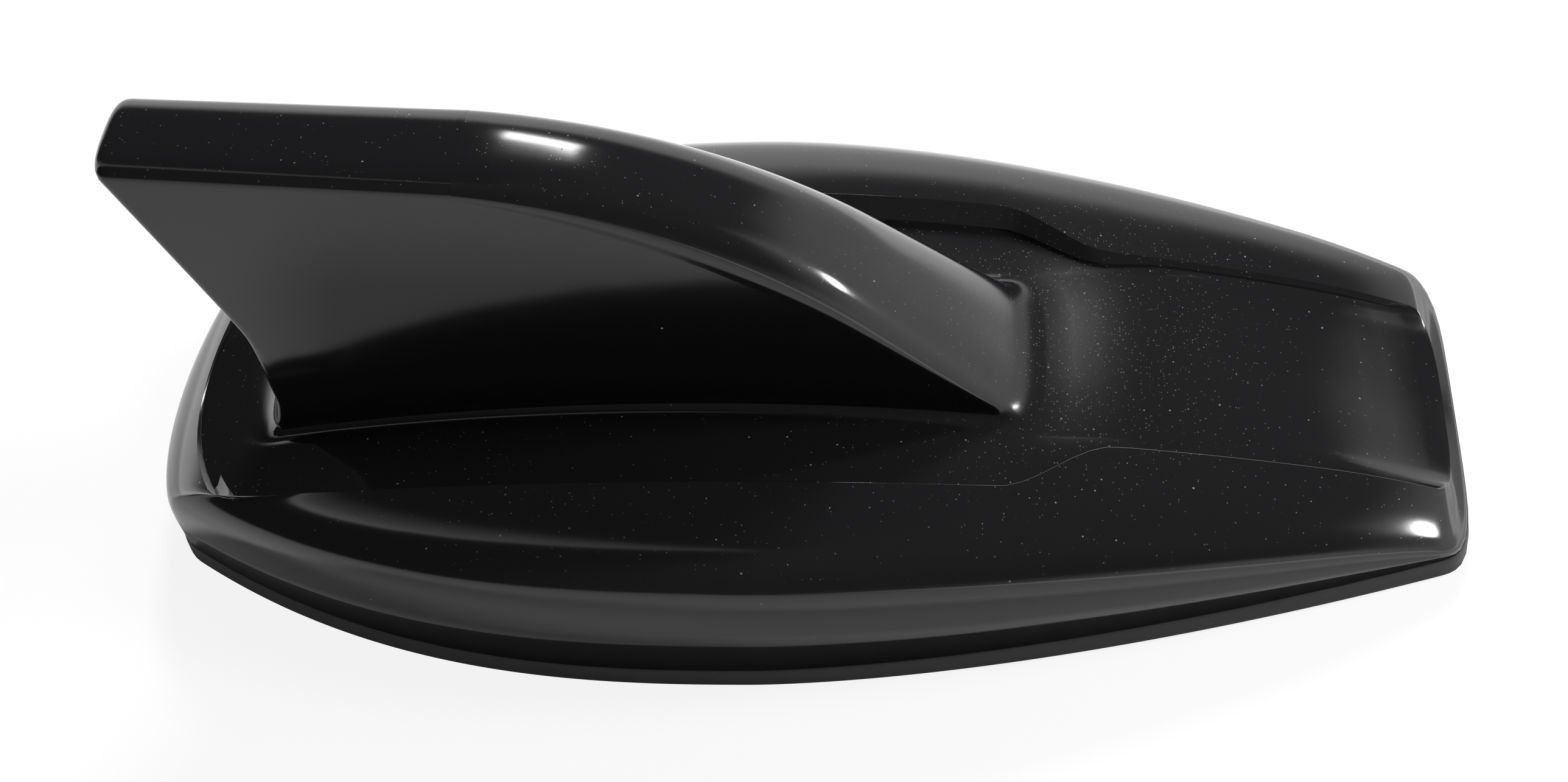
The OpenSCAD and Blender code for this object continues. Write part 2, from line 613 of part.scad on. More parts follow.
// The board that stands inside the fin, and what it carries
mast_in = 6.7;
mast_rear = -fin_rear + mast_in;
mast_front = -20*stretch;
mast_cut = 4;
cap_in = 0.5;
cap_front_in = 3;
cap_rear = mast_rear + cap_in;
cap_l = mast_front - cap_front_in - cap_rear;
cap_w = 6;
cap_t = 0.4;
cap_leg = 10;
cap_room = 3;
mast_top = crest(cap_rear + cap_l) - wall - cap_room;
module fin_board() color("#1c5a36") translate([0, board_t/2, 0]) rotate([90, 0, 0])
    linear_extrude(board_t) polygon([
        [mast_rear, board_top], [mast_front, board_top], [mast_front, mast_top - 1.5*mast_cut],
        [mast_front - mast_cut, mast_top], [mast_rear, mast_top]]);

foot_l = 8;
foot_w = 2.4;
foot_h = 3;
foot_in = 4;
feet_at = [mast_rear + foot_in, mast_front - foot_in - foot_l];
module fin_board_feet() color("#202024") for (x = feet_at) for (s = [-1, 1])
    translate([x, s > 0 ? board_t/2 : -board_t/2 - foot_w, board_top]) cube([foot_l, foot_w, foot_h]);

module top_load_cap() color("#c2c5c8") difference() {
    across(cap_rear, mast_top - cap_leg, cap_l, cap_w, cap_leg + cap_t);
    across(cap_rear - 1, mast_top - cap_leg - 1, cap_l + 2, cap_w - 2*cap_t, cap_leg + 1);
}

foam_in = 2;
foam_l = 16;
foam_from = cap_rear + foam_in;
foam_to = foam_from + foam_l;
foam_half = 1.8;
foam_gap = 0.4;
function foam_top(x) = crest(x) - wall/cos(ridge_slope) - foam_gap;
module cap_pad() color("#3a3a3d") translate([0, foam_half, 0]) rotate([90, 0, 0])
    linear_extrude(2*foam_half) polygon([
        [foam_from, mast_top + cap_t], [foam_to, mast_top + cap_t],
        [foam_to, foam_top(foam_to)], [foam_from, foam_top(foam_from)]]);

// The loading coil on its former
coil_x = -8*stretch;
former_d = 6;
former_flange_d = 9.4;
former_flange = 1.2;
former_h = 15;
coil_gap = 0.15;
coil_r = former_d/2 + coil_gap + coil_wire/2;
coil_low = 3;
coil_over = 2.4;
coil_z = board_top + coil_low;
coil_h = former_h - coil_low - coil_over;
coil_steps = 12;
coil_sides = 6;
coil_end = coil_z + coil_h;
module coil_former() color("#e6e3d8") translate([coil_x, 0, board_top]) difference() {
    union() {
        cylinder(d = former_d, h = former_h);
        cylinder(d = former_flange_d, h = former_flange);
        translate([0, 0, former_h - former_flange]) cylinder(d = former_flange_d, h = former_flange);
    }
    translate([0, 0, -1]) cylinder(d = former_d/2, h = former_h + 2);
    translate([former_d/2, -coil_wire, -1]) cube([2*coil_wire + 1, 2*coil_wire, former_flange + 2]);
}
module coil_helix() {
    count = (coil_turns + 0.5)*coil_steps;
    points = [for (k = [0:count]) let (a = 360*k/coil_steps, z = coil_z + coil_h*k/count)
        for (j = [0:coil_sides - 1]) let (b = 360*j/coil_sides, r = coil_r + coil_wire/2*cos(b))
            [r*cos(a), r*sin(a), z + coil_wire/2*sin(b)]];
    polyhedron(points, concat(
        [for (k = [0:count - 1]) for (j = [0:coil_sides - 1])
            let (i = (j + 1) % coil_sides, a = k*coil_sides, b = a + coil_sides)
            each [[a + j, b + i, b + j], [a + j, a + i, b + i]]],
        [[for (j = [coil_sides - 1:-1:0]) j], [for (j = [0:coil_sides - 1]) count*coil_sides + j]]),
        convexity = 8);
}
module loading_coil() color("#b5652c") translate([coil_x, 0, 0]) {
    coil_helix();
    translate([coil_r, 0, board_top]) cylinder(d = coil_wire, h = coil_z - board_top);
    translate([-coil_r, 0, coil_end]) rotate([0, -90, 0])
        cylinder(d = coil_wire, h = coil_x - coil_r - mast_front);
}

// Two folded aerials for the telephone bands
blade_t = 0.4;
front_w = 24;
front_h = 2.8;
front_in = 4;
front_x = board_front - front_in;
front_lip = 3;
front_foot_w = 6;
module front_blade() color("#c8a25a") {
    across(front_x, board_top, blade_t, front_w, front_h);
    across(front_x - front_lip, board_top, front_lip, front_foot_w, blade_t);
    across(front_x - front_lip, board_top + front_h - blade_t, front_lip, front_w, blade_t);
}
rear_tail = 9;
rear_tip = -half_l + rear_tail;
rear_foot = 5;
rear_foot_w = 4;
rear_h = 3.8;
rear_low = 1.6;
rear_cut = 1.5;
rear_in = 1;
foot_from = board_rear + rear_in;
foot_to = foot_from + rear_foot;
clear_x = board_rear - rear_in;
module rear_blade() color("#c8a25a") {
    translate([0, blade_t/2, 0]) rotate([90, 0, 0]) linear_extrude(blade_t) polygon([
        [foot_to, board_top], [foot_to, board_top + rear_h], [rear_tip + rear_cut, board_top + rear_h],
        [rear_tip, board_top + rear_h - rear_cut], [rear_tip, board_top - rear_low],
        [clear_x, board_top - rear_low], [clear_x, board_top + blade_t], [foot_from, board_top]]);
    across(foot_from, board_top, rear_foot, rear_foot_w, blade_t);
}

cover();
rubber_seal();
base_plate();
inner_gasket();
fixing_insert();
cover_screws();
vent_membrane();
main_board();
board_screws();
board_chips();
shield_can();
lead_header();
header_contacts();
patch_tape();
patch_ceramic();
patch_electrode();
patch_pin();
fin_board();
fin_board_feet();
top_load_cap();
cap_pad();
coil_former();
loading_coil();
front_blade();
rear_blade();
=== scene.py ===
import math

import bpy
import numpy as np
from mathutils import Matrix, Vector


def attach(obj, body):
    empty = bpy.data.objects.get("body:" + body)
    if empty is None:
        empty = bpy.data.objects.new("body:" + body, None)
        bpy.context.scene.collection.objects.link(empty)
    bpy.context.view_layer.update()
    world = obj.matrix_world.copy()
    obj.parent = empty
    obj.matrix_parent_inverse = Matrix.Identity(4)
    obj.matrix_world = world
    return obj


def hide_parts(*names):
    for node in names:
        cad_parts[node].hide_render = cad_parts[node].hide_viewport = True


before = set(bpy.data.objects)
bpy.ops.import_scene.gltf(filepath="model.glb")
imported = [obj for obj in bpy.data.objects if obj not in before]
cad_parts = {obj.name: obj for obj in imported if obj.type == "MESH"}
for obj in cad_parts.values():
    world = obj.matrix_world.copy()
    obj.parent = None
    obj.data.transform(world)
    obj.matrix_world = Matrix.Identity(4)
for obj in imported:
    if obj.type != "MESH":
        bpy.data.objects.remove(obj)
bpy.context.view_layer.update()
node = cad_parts
mm = 0.001


# --- Camera -----------------------------------------------------------------
# Stands at the aerial's right side, above the nose, where the photograph was
# taken from, and leans a little to its left.
camera_at = Vector((37.896, -159.966, 217.594)) * mm
camera_right = Vector((0.98930, 0.07215, -0.12681))
camera_up = Vector((0.02002, 0.79380, 0.60785))
camera_back = camera_right.cross(camera_up)
frame_px, focal_px = 2576, 3345.06
lens = bpy.data.cameras.new("photo_camera")
lens.sensor_width = 36
lens.lens = focal_px * lens.sensor_width / frame_px
lens.clip_start = 0.01
lens.clip_end = 50
camera = bpy.data.objects.new("photo_camera", lens)
bpy.context.scene.collection.objects.link(camera)
turn = Matrix((camera_right, camera_up, camera_back)).transposed().to_4x4()
camera.matrix_world = Matrix.Translation(camera_at) @ turn
bpy.context.scene.camera = camera
bpy.context.scene.view_settings.view_transform = "Standard"


# --- Table and light --------------------------------------------------------
# A pale table. White card stands beyond the aerial and ahead of its nose, the
# room on the camera's side is dim, and two small windows shine from above.
def new_material(name):
    material = bpy.data.materials.new(name)
    material.use_nodes = True
    return material, material.node_tree.nodes, material.node_tree.links


def plug(socket, value):
    """Links another node's output to an input, or sets it to a fixed value."""
    if isinstance(value, bpy.types.NodeSocket):
        socket.id_data.links.new(value, socket)
    else:
        socket.default_value = value


def add(nodes, kind, **values):
    """A new node with its properties and inputs."""
    made = nodes.new(kind)
    for key, value in values.items():
        if hasattr(made, key):
            setattr(made, key, value)
        else:
            plug(made.inputs[key.replace("_", " ")], value)
    return made


def math_node(nodes, operation, a, b=None, c=None, clamp=False):
    made = add(nodes, "ShaderNodeMath", operation=operation, use_clamp=clamp)
    for socket, value in zip(made.inputs, (a, b, c)):
        if value is not None:
            plug(socket, value)
    return made.outputs[0]


def times(nodes, a, b):
    return math_node(nodes, "MULTIPLY", a, b)


def ramp_node(nodes, value, low, high, to_low=0.0, to_high=1.0, kind="LINEAR"):
    return add(nodes, "ShaderNodeMapRange", clamp=True, interpolation_type=kind, Value=value,
               From_Min=low, From_Max=high, To_Min=to_low, To_Max=to_high).outputs[0]


def mix_shaders(nodes, share, first, second):
    made = add(nodes, "ShaderNodeMixShader")
    for socket, value in zip(made.inputs, (share, first.outputs[0], second.outputs[0])):
        plug(socket, value)
    return made


# How much of the table's look is its own glow: as the camera sees it, as gloss
# mirrors it close by and far off, where a pool of light is painted, and how much brighter than white that
# painted light is
seen_glow, near_glow, painted_light_glow, painted_overlight = 0.87, 0.05, 0.7, 1.4
table_top, nodes, links = new_material("table_top")
nodes.clear()
lit = add(nodes, "ShaderNodeBsdfDiffuse", Color=(0.92, 0.92, 0.92, 1))
glow = add(nodes, "ShaderNodeEmission", Color=(1, 1, 1, 1), Strength=1.0)
path = add(nodes, "ShaderNodeLightPath")
mirrored = math_node(nodes, "MAXIMUM", path.outputs["Is Glossy Ray"],
                     path.outputs["Is Transmission Ray"])
# painted light: beyond the aerial and ahead of its nose, the table is painted brighter than white where gloss
# mirrors it, a painted pool of the windows' light
across = add(nodes, "ShaderNodeSeparateXYZ", Vector=add(nodes, "ShaderNodeTexCoord").outputs["Object"])
painted_light_area = math_node(nodes, "MAXIMUM", ramp_node(nodes, across.outputs["Y"], 0.02, 0.09),
                     ramp_node(nodes, across.outputs["X"], 0.085, 0.12))
painted_light_share = times(nodes, painted_light_area, mirrored)
links.new(math_node(nodes, "MULTIPLY_ADD", painted_light_share, painted_overlight, 1.0), glow.inputs["Strength"])
share = times(nodes, mirrored, near_glow)
share = math_node(nodes, "MULTIPLY_ADD", painted_light_share, painted_light_glow, share)
share = math_node(nodes, "MULTIPLY_ADD", path.outputs["Is Camera Ray"], seen_glow, share, clamp=True)
blend = mix_shaders(nodes, share, lit, glow)
# from below the table is clear, so that the underside can be looked at
backfacing = add(nodes, "ShaderNodeNewGeometry").outputs["Backfacing"]
seen_through = mix_shaders(nodes, backfacing, blend, add(nodes, "ShaderNodeBsdfTransparent"))
out = add(nodes, "ShaderNodeOutputMaterial")
links.new(seen_through.outputs[0], out.inputs[0])
half_table, table_gap = 6.0, 0.0002
table_mesh = bpy.data.meshes.new("table")
corners = [(half_table * x, half_table * y, -table_gap) for x, y in ((-1, -1), (1, -1), (1, 1), (-1, 1))]
table_mesh.from_pydata(corners, [], [(0, 1, 2, 3)])
table_mesh.materials.append(table_top)
table = bpy.data.objects.new("table", table_mesh)
bpy.context.scene.collection.objects.link(table)

world = bpy.data.worlds.new("room")
bpy.context.scene.world = world
world.use_nodes = True
nodes, links = world.node_tree.nodes, world.node_tree.links
nodes.clear()
way = add(nodes, "ShaderNodeSeparateXYZ", Vector=add(nodes, "ShaderNodeTexCoord").outputs["Generated"])
round_about = math_node(nodes, "ARCTAN2", way.outputs["Y"], way.outputs["X"])
elevation = math_node(nodes, "ARCSINE", way.outputs["Z"])
# Azimuth, height of the card's top edge and how soft that edge is, in degrees,
# then the card's brightness and the brightness above it
card = [(-180, 2, 8, 0.40, 0.05), (-165, -8, 8, 0.08, 0.05), (-130, -9, 8, 0.10, 0.06),
        (-105, -9, 8, 0.14, 0.13), (-75, 3, 12, 0.60, 0.15), (-50, 19, 6, 1.10, 0.13),
        (-15, 30, 14, 1.25, 0.14), (15, 43, 8, 1.15, 0.13),
        (33, 31, 8, 0.95, 0.13), (45, 25, 9, 0.85, 0.13), (54, 17, 6, 0.95, 0.12), (70, 27, 4, 1.50, 0.10),
        (95, 33, 4, 1.80, 0.06), (135, 20, 8, 1.80, 0.05), (155, 12, 8, 2.00, 0.05), (180, 2, 8, 0.40, 0.05)]


# a colour ramp holds nothing below 0, so heights are kept this much higher
below = 10


def by_azimuth(column, most, raised=0):
    curve = add(nodes, "ShaderNodeValToRGB")
    ramp = curve.color_ramp
    ramp.interpolation = "LINEAR"
    for i, row in enumerate(card):
        stop = ramp.elements[i] if i < 1 else ramp.elements.new(row[0] / 360 + 0.5)
        stop.position = row[0] / 360 + 0.5
        level = (row[column] + raised) / most
        stop.color = (level, level, level, 1)
    ramp.elements.remove(ramp.elements[len(card)])
    links.new(math_node(nodes, "MULTIPLY_ADD", round_about, 1 / (2 * math.pi), 0.5), curve.inputs[0])
    return times(nodes, curve.outputs[0], most)


edge = math_node(nodes, "SUBTRACT", by_azimuth(1, 60, below), below)
edge = math_node(nodes, "RADIANS", edge)
soft_edge = math_node(nodes, "RADIANS", by_azimuth(2, 30))
card_share = ramp_node(nodes, elevation, math_node(nodes, "SUBTRACT", edge, soft_edge),
                       math_node(nodes, "ADD", edge, soft_edge), 1, 0, "SMOOTHSTEP")
room = ramp_node(nodes, card_share, 0, 1, by_azimuth(4, 1), by_azimuth(3, 2))
path = add(nodes, "ShaderNodeLightPath")
reflected = add(nodes, "ShaderNodeBackground", Color=(1, 1, 1, 1))
links.new(room, reflected.inputs["Strength"])
plain = add(nodes, "ShaderNodeBackground", Color=(1, 1, 1, 1), Strength=1.0)
soft = add(nodes, "ShaderNodeBackground", Color=(1, 1, 1, 1), Strength=0.22)
clear = math_node(nodes, "ADD", path.outputs["Is Camera Ray"], path.outputs["Is Transmission Ray"],
                  clamp=True)
lights = mix_shaders(nodes, path.outputs["Is Glossy Ray"], soft, reflected)
whole_room = mix_shaders(nodes, clear, lights, plain)
out = add(nodes, "ShaderNodeOutputWorld")
links.new(whole_room.outputs[0], out.inputs[0])


def area_light(name, target, azimuth, elevation, distance, width, depth, radiance, mirrored,
               shape="RECTANGLE"):
    az, el = math.radians(azimuth), math.radians(elevation)
    towards = Vector((math.cos(az) * math.cos(el), math.sin(az) * math.cos(el), math.sin(el)))
    lamp = bpy.data.lights.new(name, "AREA")
    lamp.shape = shape
    lamp.size, lamp.size_y = width, depth
    lamp.energy = radiance * width * depth * math.pi
    made = bpy.data.objects.new(name, lamp)
    made.location = Vector(target) * mm + towards * distance
    made.rotation_euler = towards.to_track_quat("Z", "Y").to_euler()
    made.visible_glossy = mirrored
    bpy.context.scene.collection.objects.link(made)


# The gloss mirrors the first two, which stand close so that each shows in few
# places. The other two light the object and the table, and aren't mirrored.
area_light("window", (-24, 1, 56), 84, 43, 0.28, 0.066, 0.021, 28, True)
area_light("nose_window", (78, -18, 10), 14, 34, 0.36, 0.085, 0.036, 34, True, "ELLIPSE")
area_light("window_light", (0, 0, 0), 85, 44, 1.2, 0.22, 0.22, 75, False)
area_light("nose_light", (0, 0, 0), 12, 42, 1.2, 0.26, 0.26, 36, False)


# --- Cover ------------------------------------------------------------------
# One hollow moulding of black ABS and polycarbonate, polished to a high gloss:
# two cheeks, a recessed spine that narrows at a bend, and the raked fin. Five
# bosses inside take the screws that hold it to the base plate.
body_l, body_w, wide_back, nose_w, tail_w = 170, 76, 3, 43.2, 30.8
cheek_h, high_back, nose_fall, wall, crown = 23.3, 18.5, 17.7, 2.4, 0.0016
spine_rear, spine_front, bend_x, bend_l = 23.4, 15.4, 35, 14
step_rear, step_front, spine_bow, spine_taper = 3.3, 0.8, 0.0005, 0.025
nose_cap, nose_round, nose_taper = 5.4, 4.5, 1.63
tail_cap, tail_round, tail_taper = 6, 2.1, 2.53
step_end_r, step_cap_r, step_end_f, step_cap_f, step_in = 18.8, 10.9, 5.2, 3.4, 1.7
seal_h, seal_ledge, cap_share, draft = 3, 0.5, 0.4, math.tan(math.radians(0.6))
side_power, nose_power, tail_power = 9.1, 2.2, 3.5
fin_h, fin_rear, fin_front, fin_foot = 62.2, 64.2, 31.6, 10
fin_lean, lead_slope, ridge_slope = (math.radians(a) for a in (5.4, 45.7, 6.5))
crest_r, trail_rake, trail_z, trail_soft = 76, 0.36, 33.6, 2
sweep_l, sweep_h, sweep_z, foot_z, foot_fillet = 6.1, 12.3, 22.2, 22, 2.2
ridge_r, rear_r, ridge_drop, lead_full = 2.1, 2.2, 2.4, 2.5
lead_box, rear_box, ridge_box, ridge_front, ridge_rear = 3, 3, 3, 2.4, 1.4
foot_cap_r, foot_cap_f = 6, 4
step_round_r, step_round_f, step_lean, step_gap = 2.2, 3, 0.3, 0.12
roll_drop, roll_from, roll_l, roll_h = 1.5, 66, 18, 3
boss_r, boss_bore_r, boss_cap, below_skin, below_nose_skin = 3.2, 1.5, 1.2, 1.2, 3.2
half_l, half_w = body_l / 2, body_w / 2
arch_r = (half_l + high_back) ** 2 / (2 * nose_fall)
side_n, cross_n = 130, 26
side_share = np.interp(np.linspace(0, 1, side_n + 1), [0, 0.6, 0.78, 1], [0, 0.5, 0.82, 1])
cross_angle = np.radians(90 - 180 * np.arange(1, cross_n) / cross_n)


def mix(a, b, t):
    return a + (b - a) * t


def smooth(t):
    c = np.clip(t, 0, 1)
    return c * c * (3 - 2 * c)


def round_box(angle, power):
    c, s = np.abs(np.cos(angle)), np.abs(np.sin(angle))
    r = (c**power + s**power) ** (-1 / power)
    return r * c, r * s


def plan_ring(xr, cap_r, pr, xf, cap_f, pf, half_width):
    """Near side, front, far side and rear of one closed ring, as x and y."""
    side_x = mix(xr, xf, side_share)
    near_side = np.stack([side_x, -half_width(side_x)], -1)
    along, across = round_box(cross_angle, pf)
    front_x = xf + cap_f * along
    front = np.stack([front_x, -np.sign(cross_angle) * half_width(front_x) * across], -1)
    along, across = round_box(cross_angle, pr)
    rear_x = xr - cap_r * along
    rear = np.stack([rear_x, np.sign(cross_angle) * half_width(rear_x) * across], -1)
    return np.concatenate([near_side, front, near_side[::-1] * [1, -1], rear])


def side_w(x):
    ahead = np.clip((x + wide_back) / (half_l + wide_back), 0, 1.2)
    behind = np.clip((-wide_back - x) / (half_l - wide_back), 0, 1.2)
    front = half_w - (half_w - nose_w / 2) * ahead**nose_taper
    return np.where(x > -wide_back, front, half_w - (half_w - tail_w / 2) * behind**tail_taper)


def outline(off):
    return plan_ring(-half_l + tail_cap + (1 - cap_share) * off, tail_cap - cap_share * off, tail_round,
                     half_l - nose_cap - (1 - cap_share) * off, nose_cap - cap_share * off, nose_round,
                     lambda x: side_w(x) - off)


def bend_at(x):
    return smooth((x - bend_x) / bend_l + 0.5)


def spine_w(x):
    behind = spine_rear - spine_bow * (x + 20) ** 2
    return mix(behind, spine_front - spine_taper * (x - bend_x - bend_l / 2), bend_at(x))


def step_h(x):
    fall = mix(step_rear, step_front, smooth((x - bend_x) / (bend_l * 1.6) + 0.3))
    return fall * smooth((half_l - 2 - x) / 6) * smooth((x + half_l - 6) / 9)


def step_ring(off, low):
    return plan_ring(-half_l + step_end_r + off / 2, step_cap_r - low * step_gap, step_round_r,
                     half_l - step_end_f - off / 2, step_cap_f - low * step_gap, step_round_f,
                     lambda x: np.minimum(spine_w(x) + 0.6 * off, side_w(x) - step_in - 1.15 * off)
                     - low * (step_lean * step_h(x) + step_gap))


def skin_h(x, y):
    return cheek_h - (x + high_back) ** 2 / (2 * arch_r) - crown * (y * y - spine_rear**2)


def spine_h(x):
    return skin_h(x, 0) - step_h(x)


def powers(ring):
    v = np.roll(ring, -1, 0) - np.roll(ring, 1, 0)
    nx = v[:, 1] / np.hypot(v[:, 0], v[:, 1])
    return side_power - (side_power - np.where(nx > 0, nose_power, tail_power)) * np.abs(nx) ** 1.5


def rise(d, power):
    return (1 - (1 - np.clip(d / half_w, 0, 1)) ** power) ** (1 / power)


def nose_roll(x, z):
    """How much the moulding rolls off over its nose."""
    return roll_drop * np.clip((x - roll_from) / roll_l, 0, 1.1) ** 2 * np.clip((z - seal_h) / roll_h, 0, 1)


def cheek_rings(off, steps):
    rim, step = outline(seal_ledge + off), step_ring(off, 0)
    power = powers(rim)
    rings = []
    for t in steps:
        r = mix(rim, step, t)
        z = seal_h + (skin_h(r[:, 0], r[:, 1]) - off - seal_h) * rise(np.hypot(*(r - rim).T), power)
        z = z - nose_roll(r[:, 0], z)
        k = 1 - draft * (z - seal_h) / half_w * (1 - t)
        rings.append(np.stack([r[:, 0] * k, r[:, 1] * k, z], -1))
    return rings


def spine_rings(off, steps):
    rim, step, foot = outline(seal_ledge + off), step_ring(off, 1), foot_ring()
    power = powers(rim)
    rings = []
    for t in steps:
        r = mix(step, foot, t)
        d = np.hypot(*(step - rim).T) + np.hypot(*(r - step).T)
        top = skin_h(r[:, 0], r[:, 1]) - step_h(r[:, 0]) - off
        z = seal_h + (top - seal_h) * rise(d, power)
        rings.append(np.stack([r[:, 0], r[:, 1], z - nose_roll(r[:, 0], z)], -1))
    return rings


def trail(z):
    low = z - trail_z
    soft_low = (low + np.sqrt(low * low + trail_soft**2)) / 2
    return -fin_rear - trail_rake * soft_low - sweep_l * np.clip((sweep_z - z) / sweep_h, 0, 1) ** 1.5


tip_x = -fin_rear - trail_rake * (fin_h - trail_z)
lead_z = spine_h(fin_front)
lead_tan, ridge_tan = math.tan(lead_slope), math.tan(ridge_slope)
corner_x = (fin_h - lead_z - fin_front * lead_tan + tip_x * ridge_tan) / (ridge_tan - lead_tan)
corner_z = lead_z + (fin_front - corner_x) * lead_tan
crest_tan = crest_r * math.tan((lead_slope - ridge_slope) / 2)
arc_from = corner_x - crest_tan * math.cos(ridge_slope)
arc_to = corner_x + crest_tan * math.cos(lead_slope)
arc_cx = arc_from - crest_r * math.sin(ridge_slope)
arc_cz = corner_z + crest_tan * math.sin(ridge_slope) - crest_r * math.cos(ridge_slope)
foot_rear_x = trail(sweep_z - sweep_h)


def crest(x):
    arc = arc_cz + np.sqrt(np.maximum(crest_r**2 - (x - arc_cx) ** 2, 0))
    ahead = np.where(x > arc_to, lead_z + (fin_front - x) * lead_tan, arc)
    return np.where(x < arc_from, fin_h - (x - tip_x) * ridge_tan, ahead)


def crest_angle(x):
    arc = np.arcsin(np.clip((x - arc_cx) / crest_r, -1, 1))
    return np.where(x < arc_from, ridge_slope, np.where(x > arc_to, lead_slope, arc))


def fin_w(z):
    return fin_foot - (z - foot_z) * math.tan(fin_lean)


def foot_ring():
    return plan_ring(foot_rear_x + foot_cap_r, foot_cap_r + foot_fillet, 2.6, fin_front - foot_cap_f,
                     foot_cap_f + foot_fillet, 3, lambda x: fin_w(spine_h(x)) + foot_fillet)


def fin_ring(v, off, lift):
    zr = mix(spine_h(foot_rear_x) + lift, fin_h - ridge_drop - off, v)
    xr = trail(zr) + off * 1.1 + rear_r
    xb = mix(fin_front - lift / lead_tan, arc_from, v)
    slope = crest_angle(xb)
    lean = mix(math.pi / 2, slope, smooth(v / 0.25))
    depth = (ridge_r + lead_full * math.sin(math.pi * v)) / np.cos(lean - slope)
    nose_x, nose_z = xb - np.sin(slope) * off, crest(xb) - np.cos(slope) * off
    x1, z1 = nose_x - np.sin(lean) * depth, nose_z - np.cos(lean) * depth
    x = mix(xr, x1, side_share)
    z = mix(zr, z1, side_share)
    z = z + (1 - v) ** 2 * (spine_h(x) - mix(spine_h(xr), spine_h(x1), side_share))
    w = fin_w(z) - off
    near_side = np.stack([x, -w, z], -1)
    along, across = round_box(cross_angle, lead_box)
    back = depth * (1 - along)
    front = np.stack([nose_x - np.sin(lean) * back, -np.sign(cross_angle) * w[-1] * across,
                      nose_z - np.cos(lean) * back], -1)
    along, across = round_box(cross_angle, rear_box)
    rear = np.stack([xr - rear_r * along, np.sign(cross_angle) * w[0] * across, zr + 0 * along], -1)
    return np.concatenate([near_side, front, near_side[::-1] * [1, -1, 1], rear])


def fillet_rings(off, steps):
    a, b, c = spine_rings(off, [1])[0], fin_ring(0, off, -off), fin_ring(0, off, foot_fillet)
    return [a * (1 - t) ** 2 + b * 2 * t * (1 - t) + c * t * t for t in steps]


def ridge_ring(share, off):
    def width(x):
        return fin_w(crest(x) - ridge_r - off) - off
    xe = trail(fin_h - ridge_drop - off) + off * 1.1 + rear_r
    xb = arc_from - math.sin(ridge_slope) * (off + ridge_r) - (1 - share) * ridge_front
    q = plan_ring(xe + (1 - share) * ridge_rear, rear_r * share, rear_box, xb,
                  math.sin(ridge_slope) * ridge_r * share, lead_box, lambda x: share * width(x))
    across = np.abs(q[:, 1]) / width(q[:, 0])
    back = np.clip((xe - q[:, 0]) / rear_r, 0, 1)
    full = np.maximum(0, 1 - across**ridge_box - back**ridge_box)
    fall = mix(ridge_r, ridge_drop, back) * (1 - full ** (1 / ridge_box))
    return np.stack([q[:, 0], q[:, 1], crest(q[:, 0]) - off - fall], -1)


def skin_faces(first, rows, size, flip):
    """Quads between rows of size points each, numbered from first."""
    index = first + np.arange(rows * size).reshape(rows, size)
    a, b = index[:-1], index[1:]
    quads = np.stack([a, np.roll(a, -1, 1), np.roll(b, -1, 1), b], -1).reshape(-1, 4)
    return (quads[:, ::-1] if flip else quads).tolist()


def close_faces(first, flip):
    """Closes a ring along its middle, from the near side to the far side."""
    half = side_n + cross_n
    faces = [(i, i + 1, half + side_n - i - 1, half + side_n - i) for i in range(side_n)]
    faces += [(side_n, i, i + 1) for i in range(side_n + 1, half)]
    faces += [(half + side_n, i, (i + 1) % (2 * half)) for i in range(half + side_n + 1, 2 * half)]
    return [tuple(first + i for i in (f[::-1] if flip else f)) for f in faces]


def mesh_object(name, points, faces, material, smooth_faces=True):
    mesh = bpy.data.meshes.new(name)
    mesh.from_pydata([tuple(p) for p in points], [], faces)
    mesh.materials.append(material)
    if smooth_faces:
        mesh.shade_smooth()
    made = bpy.data.objects.new(name, mesh)
    bpy.context.scene.collection.objects.link(made)
    return made


def tube(x, y, low, high, outer, inner, sides=40):
    """Points and faces of one screw boss, closed at its top."""
    angle = np.arange(sides) * 2 * math.pi / sides
    circle = np.stack([np.cos(angle), np.sin(angle)], -1)
    rows = [(outer, high), (outer, low), (inner, low), (inner, high - boss_cap)]
    points = [(x + r * c[0], y + r * c[1], z) for r, z in rows for c in circle]
    ends = [tuple(range(sides)), tuple(range(4 * sides - 1, 3 * sides - 1, -1))]
    return points, skin_faces(0, len(rows), sides, True) + ends


cheek_steps = np.append(np.linspace(0, 1, 30)[:-1] ** 2.6, [0.955, 0.98, 0.992, 1])
spine_steps = np.append([0, 0.006, 0.02, 0.045], np.linspace(0, 1, 16)[1:])
fin_levels = np.concatenate([np.linspace(0, 0.2, 16)[:-1], np.linspace(0.2, 1, 34)])
ridge_shares = [0.985, 0.95, 0.9, 0.84, 0.76, 0.66, 0.54, 0.4, 0.25, 0.1]
outside = (cheek_rings(0, cheek_steps) + spine_rings(0, spine_steps)
           + fillet_rings(0, np.linspace(0, 1, 9)[1:-1]) + [fin_ring(v, 0, foot_fillet) for v in fin_levels]
           + [ridge_ring(s, 0) for s in ridge_shares])
inside = (cheek_rings(wall, [0, 0.02, 0.1, 0.3, 0.6, 1]) + spine_rings(wall, [0, 0.2, 0.45, 0.7, 1])
          + fillet_rings(wall, [0.5])
          + [fin_ring(v, wall, foot_fillet) for v in (0, 0.12, 0.25, 0.45, 0.7, 1)]
          + [ridge_ring(s, wall) for s in (0.8, 0.3)])
ring_size = len(outside[0])
points = np.concatenate(outside + inside)
faces = skin_faces(0, len(outside), ring_size, False) + close_faces((len(outside) - 1) * ring_size, False)
start_in = len(outside) * ring_size
faces += skin_faces(start_in, len(inside), ring_size, True)
faces += close_faces(start_in + (len(inside) - 1) * ring_size, True)
faces += [(i, start_in + i, start_in + (i + 1) % ring_size, (i + 1) % ring_size) for i in range(ring_size)]
points = points.tolist()
plate_top = 4.1
screw_at = [(12, 18.5), (12, -18.5), (-52, 18.5), (-52, -18.5), (70, 0)]
